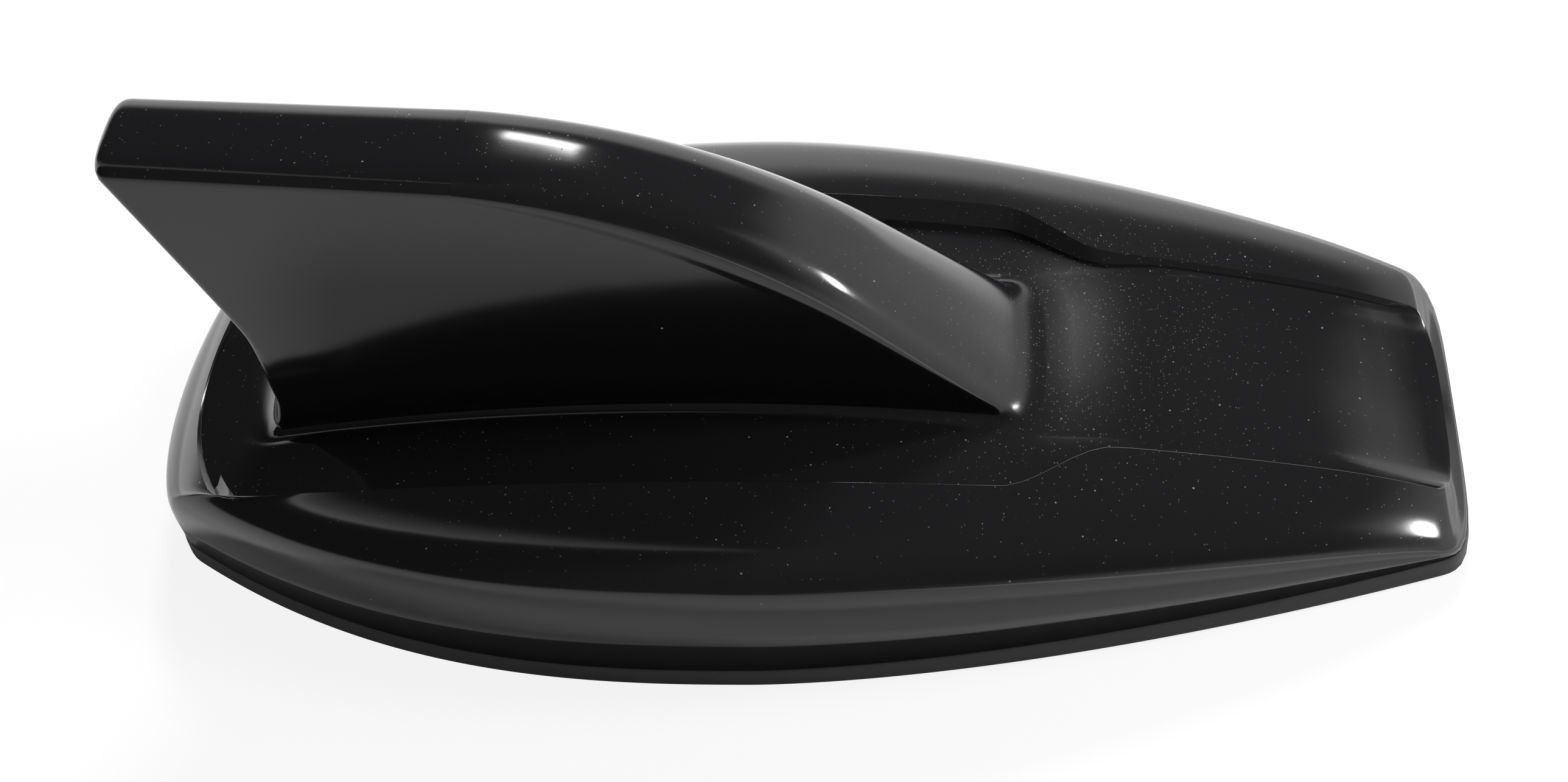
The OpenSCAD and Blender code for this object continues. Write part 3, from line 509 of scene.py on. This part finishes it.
for x, y in screw_at:
    top = float(skin_h(x, y) - step_h(x)) - (below_skin if y else below_nose_skin)
    more_points, more_faces = tube(x, y, plate_top, top, boss_r, boss_bore_r)
    faces += [tuple(len(points) + i for i in f) for f in more_faces]
    points += more_points


def new_group(name, inputs, outputs):
    """A shader node group with number and vector inputs, and its two ends."""
    group = bpy.data.node_groups.new(name, "ShaderNodeTree")
    for key, value in inputs.items():
        kind = "NodeSocketVector" if value is None else "NodeSocketFloat"
        socket = group.interface.new_socket(key, in_out="INPUT", socket_type=kind)
        if value is not None:
            socket.default_value = value
    for key in outputs:
        group.interface.new_socket(key, in_out="OUTPUT", socket_type="NodeSocketFloat")
    ends = group.nodes.new("NodeGroupInput"), group.nodes.new("NodeGroupOutput")
    return group, group.nodes, group.links, *ends


# Dust: one speck in some of the cells, each of its own size
dust_group, nodes, links, given, result = new_group(
    "settled_dust", {"Place": None, "Cells per metre": 1500, "Share": 0.1, "Size": 0.2}, ("Mask",))
cells = add(nodes, "ShaderNodeTexVoronoi", Vector=given.outputs["Place"],
            Scale=given.outputs["Cells per metre"])
chance = add(nodes, "ShaderNodeSeparateColor", Color=cells.outputs["Color"])
taken = math_node(nodes, "LESS_THAN", chance.outputs["Red"], given.outputs["Share"])
size_share = ramp_node(nodes, chance.outputs["Green"], 0, 1, 0.35, 1)
reach = times(nodes, given.outputs["Size"], size_share)
inner = times(nodes, reach, 0.5)
spot = ramp_node(nodes, cells.outputs["Distance"], inner, reach, 1, 0)
links.new(times(nodes, spot, taken), result.inputs["Mask"])

# Hairlines: noise drawn out along a line, of which only the peaks are kept
scratch_group, nodes, links, given, result = new_group(
    "hairline_scratches", {"Place": None, "Turn": 0.4, "Amount": 0.3}, ("Mask",))
turned = add(nodes, "ShaderNodeVectorRotate", rotation_type="AXIS_ANGLE", Axis=(0.1, 0.2, 1),
             Vector=given.outputs["Place"], Angle=given.outputs["Turn"])
drawn = add(nodes, "ShaderNodeVectorMath", operation="MULTIPLY")
drawn.inputs[1].default_value = (90, 3800, 400)
links.new(turned.outputs[0], drawn.inputs[0])
streaks = add(nodes, "ShaderNodeTexNoise", Vector=drawn.outputs[0], Scale=1.0, Detail=1.0, Roughness=0.5)
edge = math_node(nodes, "SUBTRACT", 0.82, times(nodes, given.outputs["Amount"], 0.12))
top = math_node(nodes, "ADD", edge, 0.05)
links.new(ramp_node(nodes, streaks.outputs[0], edge, top), result.inputs["Mask"])

# Moulded skin: the slow waves of a polished tool and a fine tooth over them
skin_group, nodes, links, given, result = new_group(
    "moulded_skin", {"Place": None, "Waves per metre": 90, "Teeth per metre": 4000, "Tooth": 0.2},
    ("Height", "Patches"))
waves = add(nodes, "ShaderNodeTexNoise", Vector=given.outputs["Place"], Scale=given.outputs["Waves per metre"],
            Detail=1.0, Roughness=0.4)
teeth = add(nodes, "ShaderNodeTexNoise", Vector=given.outputs["Place"], Scale=given.outputs["Teeth per metre"],
            Detail=3.0, Roughness=0.6)
toothed = times(nodes, teeth.outputs[0], given.outputs["Tooth"])
links.new(math_node(nodes, "ADD", waves.outputs[0], toothed), result.inputs["Height"])
links.new(waves.outputs[0], result.inputs["Patches"])


def use(nodes, group, place, **values):
    return add(nodes, "ShaderNodeGroup", node_tree=group, Place=place, **values)


def mix_colour(nodes, share, a, b):
    made = add(nodes, "ShaderNodeMix", data_type="RGBA")
    for socket, value in ((made.inputs[0], share), (made.inputs[6], a), (made.inputs[7], b)):
        plug(socket, (*value, 1) if isinstance(value, tuple) else value)
    return made.outputs[2]


def bump(nodes, height, distance, strength=1.0):
    return add(nodes, "ShaderNodeBump", Height=height, Strength=strength, Distance=distance).outputs[0]


def surface(name):
    """A new material with its nodes and links, its shader and the object's coordinates."""
    made, nodes, links = new_material(name)
    place = add(nodes, "ShaderNodeTexCoord").outputs["Object"]
    return made, nodes, links, nodes["Principled BSDF"], place


black, dust_grey, haze_grey = (0.0066, 0.0066, 0.0074), (0.50, 0.50, 0.52), (0.30, 0.29, 0.28)
gloss, drift_at, drift_reach = 0.115, (0.036, 0.002, 0.0165), 0.034
cover_gloss, nodes, links, shader, place = surface("cover_gloss")
shader.inputs["IOR"].default_value = 1.52
facing = add(nodes, "ShaderNodeSeparateXYZ", Vector=add(nodes, "ShaderNodeNewGeometry").outputs["Normal"])
upward = ramp_node(nodes, facing.outputs["Z"], 0.5, 0.95)
cloud = add(nodes, "ShaderNodeTexNoise", Vector=place, Scale=60.0, Detail=3.0, Roughness=0.6)
clouded = ramp_node(nodes, cloud.outputs[0], 0.35, 0.7, 0.25, 1)
clouded = times(nodes, clouded, upward)
# the dust lies thickest on the spine, just ahead of the fin
apart = add(nodes, "ShaderNodeVectorMath", operation="DISTANCE")
apart.inputs[1].default_value = drift_at
links.new(place, apart.inputs[0])
drift = ramp_node(nodes, apart.outputs["Value"], 0, drift_reach, 1, 0, "SMOOTHSTEP")
drift = times(nodes, drift, upward)
thick = math_node(nodes, "MULTIPLY_ADD", drift, 0.42, times(nodes, clouded, 0.10))
fine = use(nodes, dust_group, place, Cells_per_metre=2900, Size=0.40, Share=thick)
coarse = use(nodes, dust_group, place, Cells_per_metre=1300, Size=0.24,
             Share=times(nodes, clouded, 0.12))
stray = use(nodes, dust_group, place, Cells_per_metre=260, Share=0.22, Size=0.06)
grains = math_node(nodes, "MAXIMUM", times(nodes, fine.outputs[0], 0.45),
                   times(nodes, coarse.outputs[0], 0.7))
specks = math_node(nodes, "MAXIMUM", grains, stray.outputs[0])
lines = use(nodes, scratch_group, place, Turn=0.5, Amount=0.0).outputs[0]
base = mix_colour(nodes, times(nodes, drift, 0.006), black, haze_grey)
base = mix_colour(nodes, times(nodes, lines, 0.10), base, (0.2, 0.2, 0.2))
dusted = times(nodes, math_node(nodes, "POWER", specks, 2.0), 0.75)
base = mix_colour(nodes, dusted, base, dust_grey)
links.new(base, shader.inputs["Base Color"])
rough = math_node(nodes, "MULTIPLY_ADD", specks, 0.6, gloss)
rough = math_node(nodes, "MULTIPLY_ADD", lines, 0.12, rough, clamp=True)
rough = math_node(nodes, "MULTIPLY_ADD", drift, 0.12, rough, clamp=True)
links.new(rough, shader.inputs["Roughness"])
skin = use(nodes, skin_group, place, Waves_per_metre=75, Teeth_per_metre=3600,
           Tooth=math_node(nodes, "MULTIPLY_ADD", drift, 0.12, 0.01))
links.new(bump(nodes, skin.outputs["Height"], 0.00006), shader.inputs["Normal"])

cover = mesh_object("cover_moulding", np.array(points) * mm, faces, cover_gloss)
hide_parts("cover")
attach(cover, "root")


# --- Rubber seal ------------------------------------------------------------
# One moulded ring of black EPDM. Its bulged bead shows under the cover; a flat
# flange with a lip at each edge lies between the base plate and the roof.
bead_in = seal_ledge + wall + 0.2
lip_in = bead_in + 0.6 + 4.6 + 0.6
# how far in from the cover's edge, and how high, round the ring's section
profile = [(0.52, 3.0), (0.42, 2.92), (0.30, 2.6), (0.2, 2.1), (0.12, 1.5), (0.06, 0.95), (0.02, 0.5),
           (0.05, 0.28), (0.16, 0.1), (0.4, 0), (1.2, 0),
           (bead_in, 0), (bead_in + 0.3, 0.42), (bead_in + 0.6, 0.6),
           (lip_in - 0.6, 0.6), (lip_in - 0.3, 0.42), (lip_in, 0), (lip_in + 0.9, 0), (lip_in + 1, 0.1),
           (lip_in + 1, 1.5), (lip_in + 0.9, 1.6), (bead_in + 0.1, 1.6), (bead_in, 1.7), (bead_in, 3.0)]
rows = [np.column_stack([outline(off), np.full(ring_size, z)]) for off, z in profile]
seal_points = np.concatenate(rows)
last = len(profile) - 1
seal_faces = skin_faces(0, len(rows), ring_size, True)
seal_faces += [(last * ring_size + (i + 1) % ring_size, last * ring_size + i, i, (i + 1) % ring_size)
               for i in range(ring_size)]

seal_rubber, nodes, links, shader, place = surface("seal_rubber")
shader.inputs["Specular IOR Level"].default_value = 0.42
skin = use(nodes, skin_group, place, Waves_per_metre=260, Teeth_per_metre=3600, Tooth=0.35)
blooms = ramp_node(nodes, skin.outputs["Patches"], 0.35, 0.7)
base = mix_colour(nodes, blooms, (0.024, 0.024, 0.026), (0.040, 0.040, 0.043))
specks = use(nodes, dust_group, place, Cells_per_metre=1100, Share=0.10, Size=0.14).outputs[0]
base = mix_colour(nodes, times(nodes, specks, 0.4), base, (0.4, 0.39, 0.37))
links.new(base, shader.inputs["Base Color"])
links.new(ramp_node(nodes, blooms, 0, 1, 0.55, 0.72), shader.inputs["Roughness"])
links.new(bump(nodes, skin.outputs["Height"], 0.00005), shader.inputs["Normal"])

seal = mesh_object("seal_ring", seal_points * mm, seal_faces, seal_rubber)
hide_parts("rubber_seal")
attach(seal, "root")


# --- Base plate -------------------------------------------------------------
# Die-cast in aluminium, as cast apart from its drilled holes: board pillars,
# the boss for the fixing insert, a pad below, windows and a vent.
def finish(material, *names):
    """Gives CAD nodes their material."""
    for name in names:
        if not node[name].data.materials:
            node[name].data.materials.append(material)
        for slot in node[name].material_slots:
            slot.material = material


def uneven(name, colour, other, roughness, waves, teeth, depth, tooth, spread):
    """A surface that wanders a little in colour and gloss."""
    made, nodes, links, shader, place = surface(name)
    skin = use(nodes, skin_group, place, Waves_per_metre=waves, Teeth_per_metre=teeth, Tooth=tooth)
    patch = ramp_node(nodes, skin.outputs["Patches"], 0.3, 0.7)
    base = mix_colour(nodes, patch, colour, other)
    links.new(base, shader.inputs["Base Color"])
    links.new(ramp_node(nodes, patch, 0, 1, roughness, roughness + spread), shader.inputs["Roughness"])
    links.new(bump(nodes, skin.outputs["Height"], depth), shader.inputs["Normal"])
    return made, nodes, links, shader, place, base


def metal(name, colour, worn, roughness, waves, teeth, depth, shade=0.35):
    """Metal with hairlines over its uneven surface."""
    made, nodes, links, shader, place, base = uneven(name, colour, worn, roughness, waves, teeth, depth,
                                                     0.4, 0.14)
    shader.inputs["Metallic"].default_value = 1
    lines = use(nodes, scratch_group, place, Turn=0.9, Amount=0.5).outputs[0]
    base = mix_colour(nodes, times(nodes, lines, shade), base, (0.9, 0.9, 0.9))
    links.new(base, shader.inputs["Base Color"])
    return made


def plastic(name, colour, other, roughness, waves, teeth, depth):
    """Moulded plastic, rubber or film."""
    return uneven(name, colour, other, roughness, waves, teeth, depth, 0.5, 0.12)[0]


cast_plate = metal("cast_plate", (0.36, 0.37, 0.39), (0.47, 0.48, 0.50), 0.42, 140, 2600, 0.00005, 0.15)
finish(cast_plate, "base_plate")


# --- Inner gasket -----------------------------------------------------------
# A die-cut ring of closed-cell foam, stuck to the plate's underside round the
# pad, which keeps water from the hole in the roof.
foam, nodes, links, shader, place = surface("foam")
cells = add(nodes, "ShaderNodeTexVoronoi", Vector=place, Scale=2600.0)
pit = ramp_node(nodes, cells.outputs["Distance"], 0.1, 0.6)
base = mix_colour(nodes, pit, (0.035, 0.035, 0.038), (0.014, 0.014, 0.015))
links.new(base, shader.inputs["Base Color"])
links.new(ramp_node(nodes, pit, 0, 1, 0.82, 0.95), shader.inputs["Roughness"])
links.new(bump(nodes, pit, 0.0001, 0.8), shader.inputs["Normal"])
finish(foam, "inner_gasket", "cap_pad")


# --- Fixing insert ----------------------------------------------------------
# A turned brass insert, pressed into the plate's boss from above and held by
# its flange. The screw from inside the car runs in its M6 thread.
pad_z, insert_top, insert_d, flange_d, flange_t, blind = 0.3, 4.9, 10, 13, 0.9, 0.8
core_r, crest_depth, pitch, flank, crest_flat = 2.5, 0.5, 1.0, 1.25, 0.15
lead_in, corner = 0.4, 0.2
turn_n, rise_n = 72, 96
bore_top = insert_top + flange_t - blind
turns = np.arange(turn_n) * 2 * math.pi / turn_n
heights = np.linspace(pad_z, bore_top, rise_n)
phase = (heights[:, None] / pitch - turns[None, :] / (2 * math.pi)) % 1
bore_r = core_r + crest_depth * np.clip(np.abs(phase * 2 - 1) * flank - crest_flat, 0, 1)
bore = [(r * math.cos(a), r * math.sin(a), z)
        for row, z in zip(bore_r, heights) for r, a in zip(row, turns)]
outer = [(insert_d / 2 - lead_in, pad_z), (insert_d / 2, pad_z + lead_in), (insert_d / 2, insert_top),
         (flange_d / 2 - 0.15, insert_top), (flange_d / 2, insert_top + 0.15),
         (flange_d / 2, insert_top + flange_t - corner), (flange_d / 2 - corner, insert_top + flange_t)]
body = [(r * math.cos(a), r * math.sin(a), z) for r, z in outer for a in turns]
insert_faces = skin_faces(0, rise_n, turn_n, True)
insert_faces += skin_faces(rise_n * turn_n, len(outer), turn_n, False)
start = rise_n * turn_n
insert_faces += [(i, start + i, start + (i + 1) % turn_n, (i + 1) % turn_n)[::-1] for i in range(turn_n)]
insert_faces += [tuple(range(start - 1, start - turn_n - 1, -1))]
insert_faces += [tuple(range(start + (len(outer) - 1) * turn_n, start + len(outer) * turn_n))]
brass_insert = metal("brass_insert", (0.62, 0.44, 0.16), (0.72, 0.54, 0.24), 0.24, 200, 3000, 0.00002)
insert = mesh_object("threaded_insert", np.array(bore + body) * mm, insert_faces, brass_insert, False)
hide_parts("fixing_insert")
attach(insert, "root")


# --- Screws -----------------------------------------------------------------
# Five countersunk screws pull the cover down on the plate from below, and six
# low-headed ones hold the board. Rolled thread, hexagon socket, zinc plated.
def new_tree(name, *sizes, kind="NodeSocketFloat"):
    """A Geometry Nodes tree that takes loose points, named sizes and a finish."""
    tree = bpy.data.node_groups.new(name, "GeometryNodeTree")
    tree.interface.new_socket("Geometry", in_out="INPUT", socket_type="NodeSocketGeometry")
    for key in sizes:
        tree.interface.new_socket(key, in_out="INPUT", socket_type=kind)
    tree.interface.new_socket("Finish", in_out="INPUT", socket_type="NodeSocketMaterial")
    tree.interface.new_socket("Geometry", in_out="OUTPUT", socket_type="NodeSocketGeometry")
    return tree, tree.nodes, tree.links, tree.nodes.new("NodeGroupInput")


def end_tree(tree, given, copy):
    """Puts a copy on each point, makes the copies real and gives them the finish."""
    nodes, links = tree.nodes, tree.links
    placed = add(nodes, "GeometryNodeInstanceOnPoints")
    links.new(given.outputs["Geometry"], placed.inputs["Points"])
    links.new(copy, placed.inputs["Instance"])
    real = add(nodes, "GeometryNodeRealizeInstances")
    links.new(placed.outputs[0], real.inputs[0])
    dressed = add(nodes, "GeometryNodeSetMaterial")
    links.new(real.outputs[0], dressed.inputs["Geometry"])
    links.new(given.outputs["Finish"], dressed.inputs["Material"])
    links.new(dressed.outputs[0], nodes.new("NodeGroupOutput").inputs[0])
    return tree


def swept_spiral(nodes, turns, radius, height, wire_radius, points, sides):
    """A wire swept along a spiral, closed at both ends."""
    spiral = add(nodes, "GeometryNodeCurveSpiral", Resolution=points, Rotations=turns, Start_Radius=radius,
                 End_Radius=radius, Height=height)
    wire = add(nodes, "GeometryNodeCurvePrimitiveCircle", Resolution=sides, Radius=wire_radius)
    return add(nodes, "GeometryNodeCurveToMesh", Curve=spiral.outputs[0], Profile_Curve=wire.outputs[0],
               Fill_Caps=True).outputs[0]


def screw_tree():
    """Geometry Nodes: on each point a head with its socket, a shank and a thread."""
    tree, nodes, links, given = new_tree("screws", "Head radius", "Shank radius", "Head height", "Length",
                                         "Socket radius", "Pitch", "Countersunk")
    head_r, shank_r, head_h, screw_l, socket_r, pitch, sunk = given.outputs[1:8]
    ridge_share, socket_share, plain_share = 0.32, 0.55, 1.2

    def number(operation, a, b):
        return math_node(nodes, operation, a, b)

    def lifted(shape, height):
        up = add(nodes, "ShaderNodeCombineXYZ", Z=height).outputs[0]
        return add(nodes, "GeometryNodeTransform", Geometry=shape, Translation=up).outputs[0]

    def cone(top, bottom, depth, sides):
        made = add(nodes, "GeometryNodeMeshCone")
        made.inputs["Vertices"].default_value = sides
        for key, value in (("Radius Top", top), ("Radius Bottom", bottom), ("Depth", depth)):
            links.new(value, made.inputs[key])
        return made.outputs["Mesh"]

    rim = number("MULTIPLY", number("SUBTRACT", head_r, shank_r), number("SUBTRACT", 1.0, sunk))
    rim = number("ADD", shank_r, rim)
    core = number("SUBTRACT", shank_r, number("MULTIPLY", pitch, ridge_share))
    drilled = number("MULTIPLY", head_h, socket_share)
    head = add(nodes, "GeometryNodeMeshBoolean", operation="DIFFERENCE", solver="EXACT")
    links.new(cone(rim, head_r, head_h, 40), head.inputs["Mesh 1"])
    socket = cone(socket_r, socket_r, number("MULTIPLY", drilled, 2.0), 6)
    links.new(lifted(socket, number("MULTIPLY", drilled, -1.0)), head.inputs["Mesh 2"])
    length = number("SUBTRACT", screw_l, head_h)
    shank = lifted(cone(core, core, length, 24), head_h)
    run = number("SUBTRACT", length, number("MULTIPLY", pitch, plain_share))
    thread = swept_spiral(nodes, number("DIVIDE", run, pitch), core, run,
                          number("MULTIPLY", pitch, ridge_share), 20, 4)
    thread = lifted(thread, number("ADD", head_h, number("MULTIPLY", pitch, plain_share / 2)))
    whole = add(nodes, "GeometryNodeJoinGeometry")
    for part in (head.outputs[0], shank, thread):
        links.new(part, whole.inputs[0])
    return end_tree(tree, given, whole.outputs[0])


def grow(name, tree, points, values, flip=False):
    """Runs a tree on loose points and keeps the result as a plain mesh."""
    mesh = bpy.data.meshes.new(name)
    mesh.from_pydata([tuple(p) for p in points], [], [])
    made = bpy.data.objects.new(name, mesh)
    bpy.context.scene.collection.objects.link(made)
    modifier = made.modifiers.new("grow", "NODES")
    modifier.node_group = tree
    for item in tree.interface.items_tree:
        if item.item_type == "SOCKET" and item.in_out == "INPUT" and item.name in values:
            modifier[item.identifier] = values[item.name]
    seen = made.evaluated_get(bpy.context.evaluated_depsgraph_get())
    grown = bpy.data.meshes.new_from_object(seen)
    made.modifiers.remove(modifier)
    if flip:
        for vertex in grown.vertices:
            vertex.co = Vector((vertex.co.x, -vertex.co.y, -vertex.co.z))
    made.data = grown
    return made


screw_steel = metal("screw_steel", (0.52, 0.53, 0.55), (0.62, 0.63, 0.66), 0.22, 300, 5000, 0.00001)
screws = screw_tree()
head_down = {"Head radius": 0.003, "Shank radius": 0.0015, "Head height": 0.0015, "Socket radius": 0.0009,
             "Pitch": 0.0006, "Countersunk": 1.0, "Finish": screw_steel}
plate_z = 1.6
cover_points = [(x * mm, y * mm, plate_z * mm) for x, y in screw_at]
long_screws = grow("cover_screw_set", screws, cover_points[:4], {**head_down, "Length": 0.0080})
nose_screw = grow("nose_screw", screws, cover_points[4:], {**head_down, "Length": 0.00525})
board_top, pillar_at = 7.7, [(-61.5, 12), (-9, 14.5), (57.5, 15.2)]
head_top = board_top + 1.5
# made head down like the others, then turned over on to the board
board_points = [(x * mm, s * y * mm, -head_top * mm) for x, y in pillar_at for s in (-1, 1)]
board_set = grow("board_screw_set", screws, board_points,
                 {"Head radius": 0.0022, "Shank radius": 0.0012, "Head height": 0.0015, "Length": 0.0059,
                  "Socket radius": 0.00075, "Pitch": 0.0005, "Countersunk": 0.0, "Finish": screw_steel}, True)
for piece, name in ((long_screws, "cover_screws"), (nose_screw, "cover_screws"), (board_set, "board_screws")):
    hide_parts(name)
    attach(piece, "root")


# --- Vent membrane ----------------------------------------------------------
# A disc of breathable white film, stuck under the plate's vent, that lets air
# through and keeps water out.
membrane = plastic("membrane", (0.78, 0.78, 0.75), (0.86, 0.86, 0.84), 0.62, 900, 9000, 0.00002)
finish(membrane, "vent_membrane")


# --- Boards -----------------------------------------------------------------
# The main board lies on the plate's pillars and a second one stands in the
# fin. Glass and resin with green solder mask over copper tracks.
board_green, nodes, links, shader, place = surface("board_green")
shader.inputs["Coat Weight"].default_value = 0.4
tracks = add(nodes, "ShaderNodeTexBrick", Vector=place, Scale=260.0, Mortar_Size=0.05, Mortar_Smooth=0.1,
             Brick_Width=0.9, Row_Height=0.35)
under = ramp_node(nodes, tracks.outputs["Fac"], 0, 1)
skin = use(nodes, skin_group, place, Waves_per_metre=150, Teeth_per_metre=4000, Tooth=0.2)
holes = use(nodes, dust_group, place, Cells_per_metre=420, Share=0.35, Size=0.16).outputs[0]
base = mix_colour(nodes, under, (0.010, 0.085, 0.038), (0.020, 0.130, 0.060))
base = mix_colour(nodes, times(nodes, holes, 0.8), base, (0.55, 0.50, 0.36))
links.new(base, shader.inputs["Base Color"])
links.new(ramp_node(nodes, skin.outputs["Patches"], 0.3, 0.7, 0.30, 0.42), shader.inputs["Roughness"])
height = math_node(nodes, "ADD", skin.outputs["Height"], under)
links.new(bump(nodes, height, 0.00003), shader.inputs["Normal"])
finish(board_green, "main_board", "fin_board")


# --- Chips ------------------------------------------------------------------
# Twelve moulded packages with tinned legs along two sides, soldered to the
# main board. Each has its middle, length, width and height.
chips = [(-50, 7.4, 7, 7, 1), (-39, 7, 5, 5, 0.9), (-31.5, 7, 4, 4, 0.9), (-24, 7, 5, 3, 1.2),
         (-14.4, 7.4, 6, 5, 1.4), (-1.5, 7, 5, 4, 0.9), (2, -6.5, 6, 6, 1), (-14.6, -8, 4, 4, 0.9),
         (-15.5, 12.5, 3, 2, 1), (-34, 13, 3.2, 1.6, 0.8), (-40, 13, 3.2, 1.6, 0.8), (-60, -4.5, 3, 1.6, 0.8)]
chip_black = plastic("chip_black", (0.020, 0.020, 0.022), (0.032, 0.032, 0.034), 0.5, 400, 7000, 0.00001)
tinned_sheet = metal("tinned_sheet", (0.60, 0.61, 0.62), (0.70, 0.71, 0.72), 0.26, 220, 3800, 0.00001)


def leg_tree():
    """Geometry Nodes: one leg of a package on each point."""
    tree, nodes, links, given = new_tree("chip_legs", "Size", kind="NodeSocketVector")
    leg = add(nodes, "GeometryNodeMeshCube")
    links.new(given.outputs["Size"], leg.inputs["Size"])
    return end_tree(tree, given, leg.outputs["Mesh"])


def package(x, y, z, length, width, height, chamfer):
    """A block whose top edges are chamfered."""
    a, b = length / 2, width / 2
    rows = [(a, b, 0), (a, b, height - chamfer), (a - chamfer, b - chamfer, height)]
    corners = ((-1, -1), (1, -1), (1, 1), (-1, 1))
    points = [(x + i * p, y + j * q, z + r) for p, q, r in rows for i, j in corners]
    return points, skin_faces(0, 3, 4, False) + [(3, 2, 1, 0), (8, 9, 10, 11)]


chip_points, chip_faces, leg_points = [], [], []
leg_out, leg_w, leg_pitch, leg_h, leg_margin = 0.45, 0.3, 0.65, 0.35, 0.5
chip_lift, chip_chamfer = 0.06, 0.12
for x, y, length, width, height in chips:
    more_points, more_faces = package(x, y, board_top + chip_lift, length, width - 2 * leg_out,
                                      height - chip_lift, chip_chamfer)
    chip_faces += [tuple(len(chip_points) + i for i in f) for f in more_faces]
    chip_points += more_points
    count = int((length - leg_margin) / leg_pitch) + 1
    leg_points += [((x + (i - (count - 1) / 2) * leg_pitch) * mm, (y + s * (width / 2 - leg_out / 2)) * mm,
                    (board_top + leg_h / 2) * mm) for i in range(count) for s in (-1, 1)]
chip_set = mesh_object("chip_packages", np.array(chip_points) * mm, chip_faces, chip_black, False)
leg_set = grow("chip_legs", leg_tree(), leg_points,
               {"Size": (leg_w * mm, leg_out * mm, leg_h * mm), "Finish": tinned_sheet})
for piece, slot in ((chip_set, "chip_black"), (leg_set, "tinned_sheet")):
    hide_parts("board_chips")
    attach(piece, "root")


# --- Shield can and top-load cap --------------------------------------------
# Both folded from tinned steel sheet: a pierced can over the receiver, and the
# open sheet on the standing board that loads the radio aerial.
finish(tinned_sheet, "shield_can", "top_load_cap")


# --- Lead header ------------------------------------------------------------
# A moulded housing that passes down through the board and the plate, with two
# round sockets for the car's leads and a gilt contact bent up out of each.
header_blue = plastic("header_blue", (0.022, 0.070, 0.240), (0.030, 0.090, 0.290), 0.38, 200, 3800, 0.00002)
gilt_contact = metal("gilt_contact", (0.80, 0.58, 0.22), (0.88, 0.68, 0.32), 0.18, 300, 5000, 0.00001)
finish(header_blue, "lead_header")
finish(gilt_contact, "header_contacts")


# --- Positioning patch ------------------------------------------------------
# A ceramic tile on double-sided tape, with a fired silver electrode on its top
# and one pin that passes down through the board.
tape = plastic("tape", (0.66, 0.62, 0.52), (0.74, 0.70, 0.60), 0.55, 300, 5200, 0.00001)
ceramic = plastic("ceramic", (0.58, 0.47, 0.30), (0.66, 0.55, 0.38), 0.48, 500, 8000, 0.00002)
silvering = metal("silvering", (0.72, 0.72, 0.71), (0.82, 0.82, 0.80), 0.34, 600, 7000, 0.00002)
finish(tape, "patch_tape")
finish(ceramic, "patch_ceramic")
finish(silvering, "patch_electrode")
finish(tinned_sheet, "patch_pin")


# --- Standing board's feet --------------------------------------------------
# Four moulded black strips on both sides of the standing board's lower edge.
finish(chip_black, "fin_board_feet")


# --- Loading coil -----------------------------------------------------------
# Six and a half turns of bare copper wire on a cream moulded former. One end
# goes down to the main board, the other across to the standing board.
former_cream = plastic("former_cream", (0.70, 0.66, 0.54), (0.78, 0.74, 0.62), 0.40, 260, 4200, 0.00001)
copper_wire = metal("copper_wire", (0.66, 0.30, 0.14), (0.76, 0.38, 0.20), 0.20, 300, 5000, 0.00001)
finish(former_cream, "coil_former")
coil_x, coil_r, coil_z, coil_l, coil_turns, mast_front = -8, 3.65, 10.7, 9.6, 6.5, -20
wire_r, wire_n = 0.5, 14


def coil_tree():
    """Geometry Nodes: wire swept along a spiral that starts at each point."""
    tree, nodes, links, given = new_tree("wound_wire", "Turns", "Coil radius", "Rise", "Wire radius")
    return end_tree(tree, given, swept_spiral(nodes, *given.outputs[1:5], 48, wire_n))


wound = grow("wound_wire", coil_tree(), [(coil_x * mm, 0, coil_z * mm)],
             {"Turns": coil_turns, "Coil radius": coil_r * mm, "Rise": coil_l * mm,
              "Wire radius": wire_r * mm, "Finish": copper_wire})
tail_angle = np.arange(wire_n) * 2 * math.pi / wire_n
ring = np.stack([np.cos(tail_angle), np.sin(tail_angle)], -1) * wire_r
tail_points = [(coil_x + coil_r + p, q, z) for z in (board_top, coil_z) for p, q in ring]
tail_points += [(x, p, coil_z + coil_l + q) for x in (mast_front, coil_x - coil_r) for p, q in ring]
rod_faces = skin_faces(0, 2, wire_n, False)
rod_faces += [tuple(range(wire_n - 1, -1, -1)), tuple(range(wire_n, 2 * wire_n))]
tail_faces = rod_faces + [tuple(2 * wire_n + i for i in f) for f in rod_faces]
tails = mesh_object("coil_tails", np.array(tail_points) * mm, tail_faces, copper_wire)
for piece in (wound, tails):
    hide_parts("loading_coil")
    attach(piece, "root")


# --- Blades -----------------------------------------------------------------
# The two aerials for the telephone bands, folded from spring bronze and
# soldered at the nose and at the tail of the main board.
spring_bronze = metal("spring_bronze", (0.60, 0.42, 0.20), (0.68, 0.50, 0.28), 0.28, 260, 4600, 0.00001)
finish(spring_bronze, "front_blade", "rear_blade")
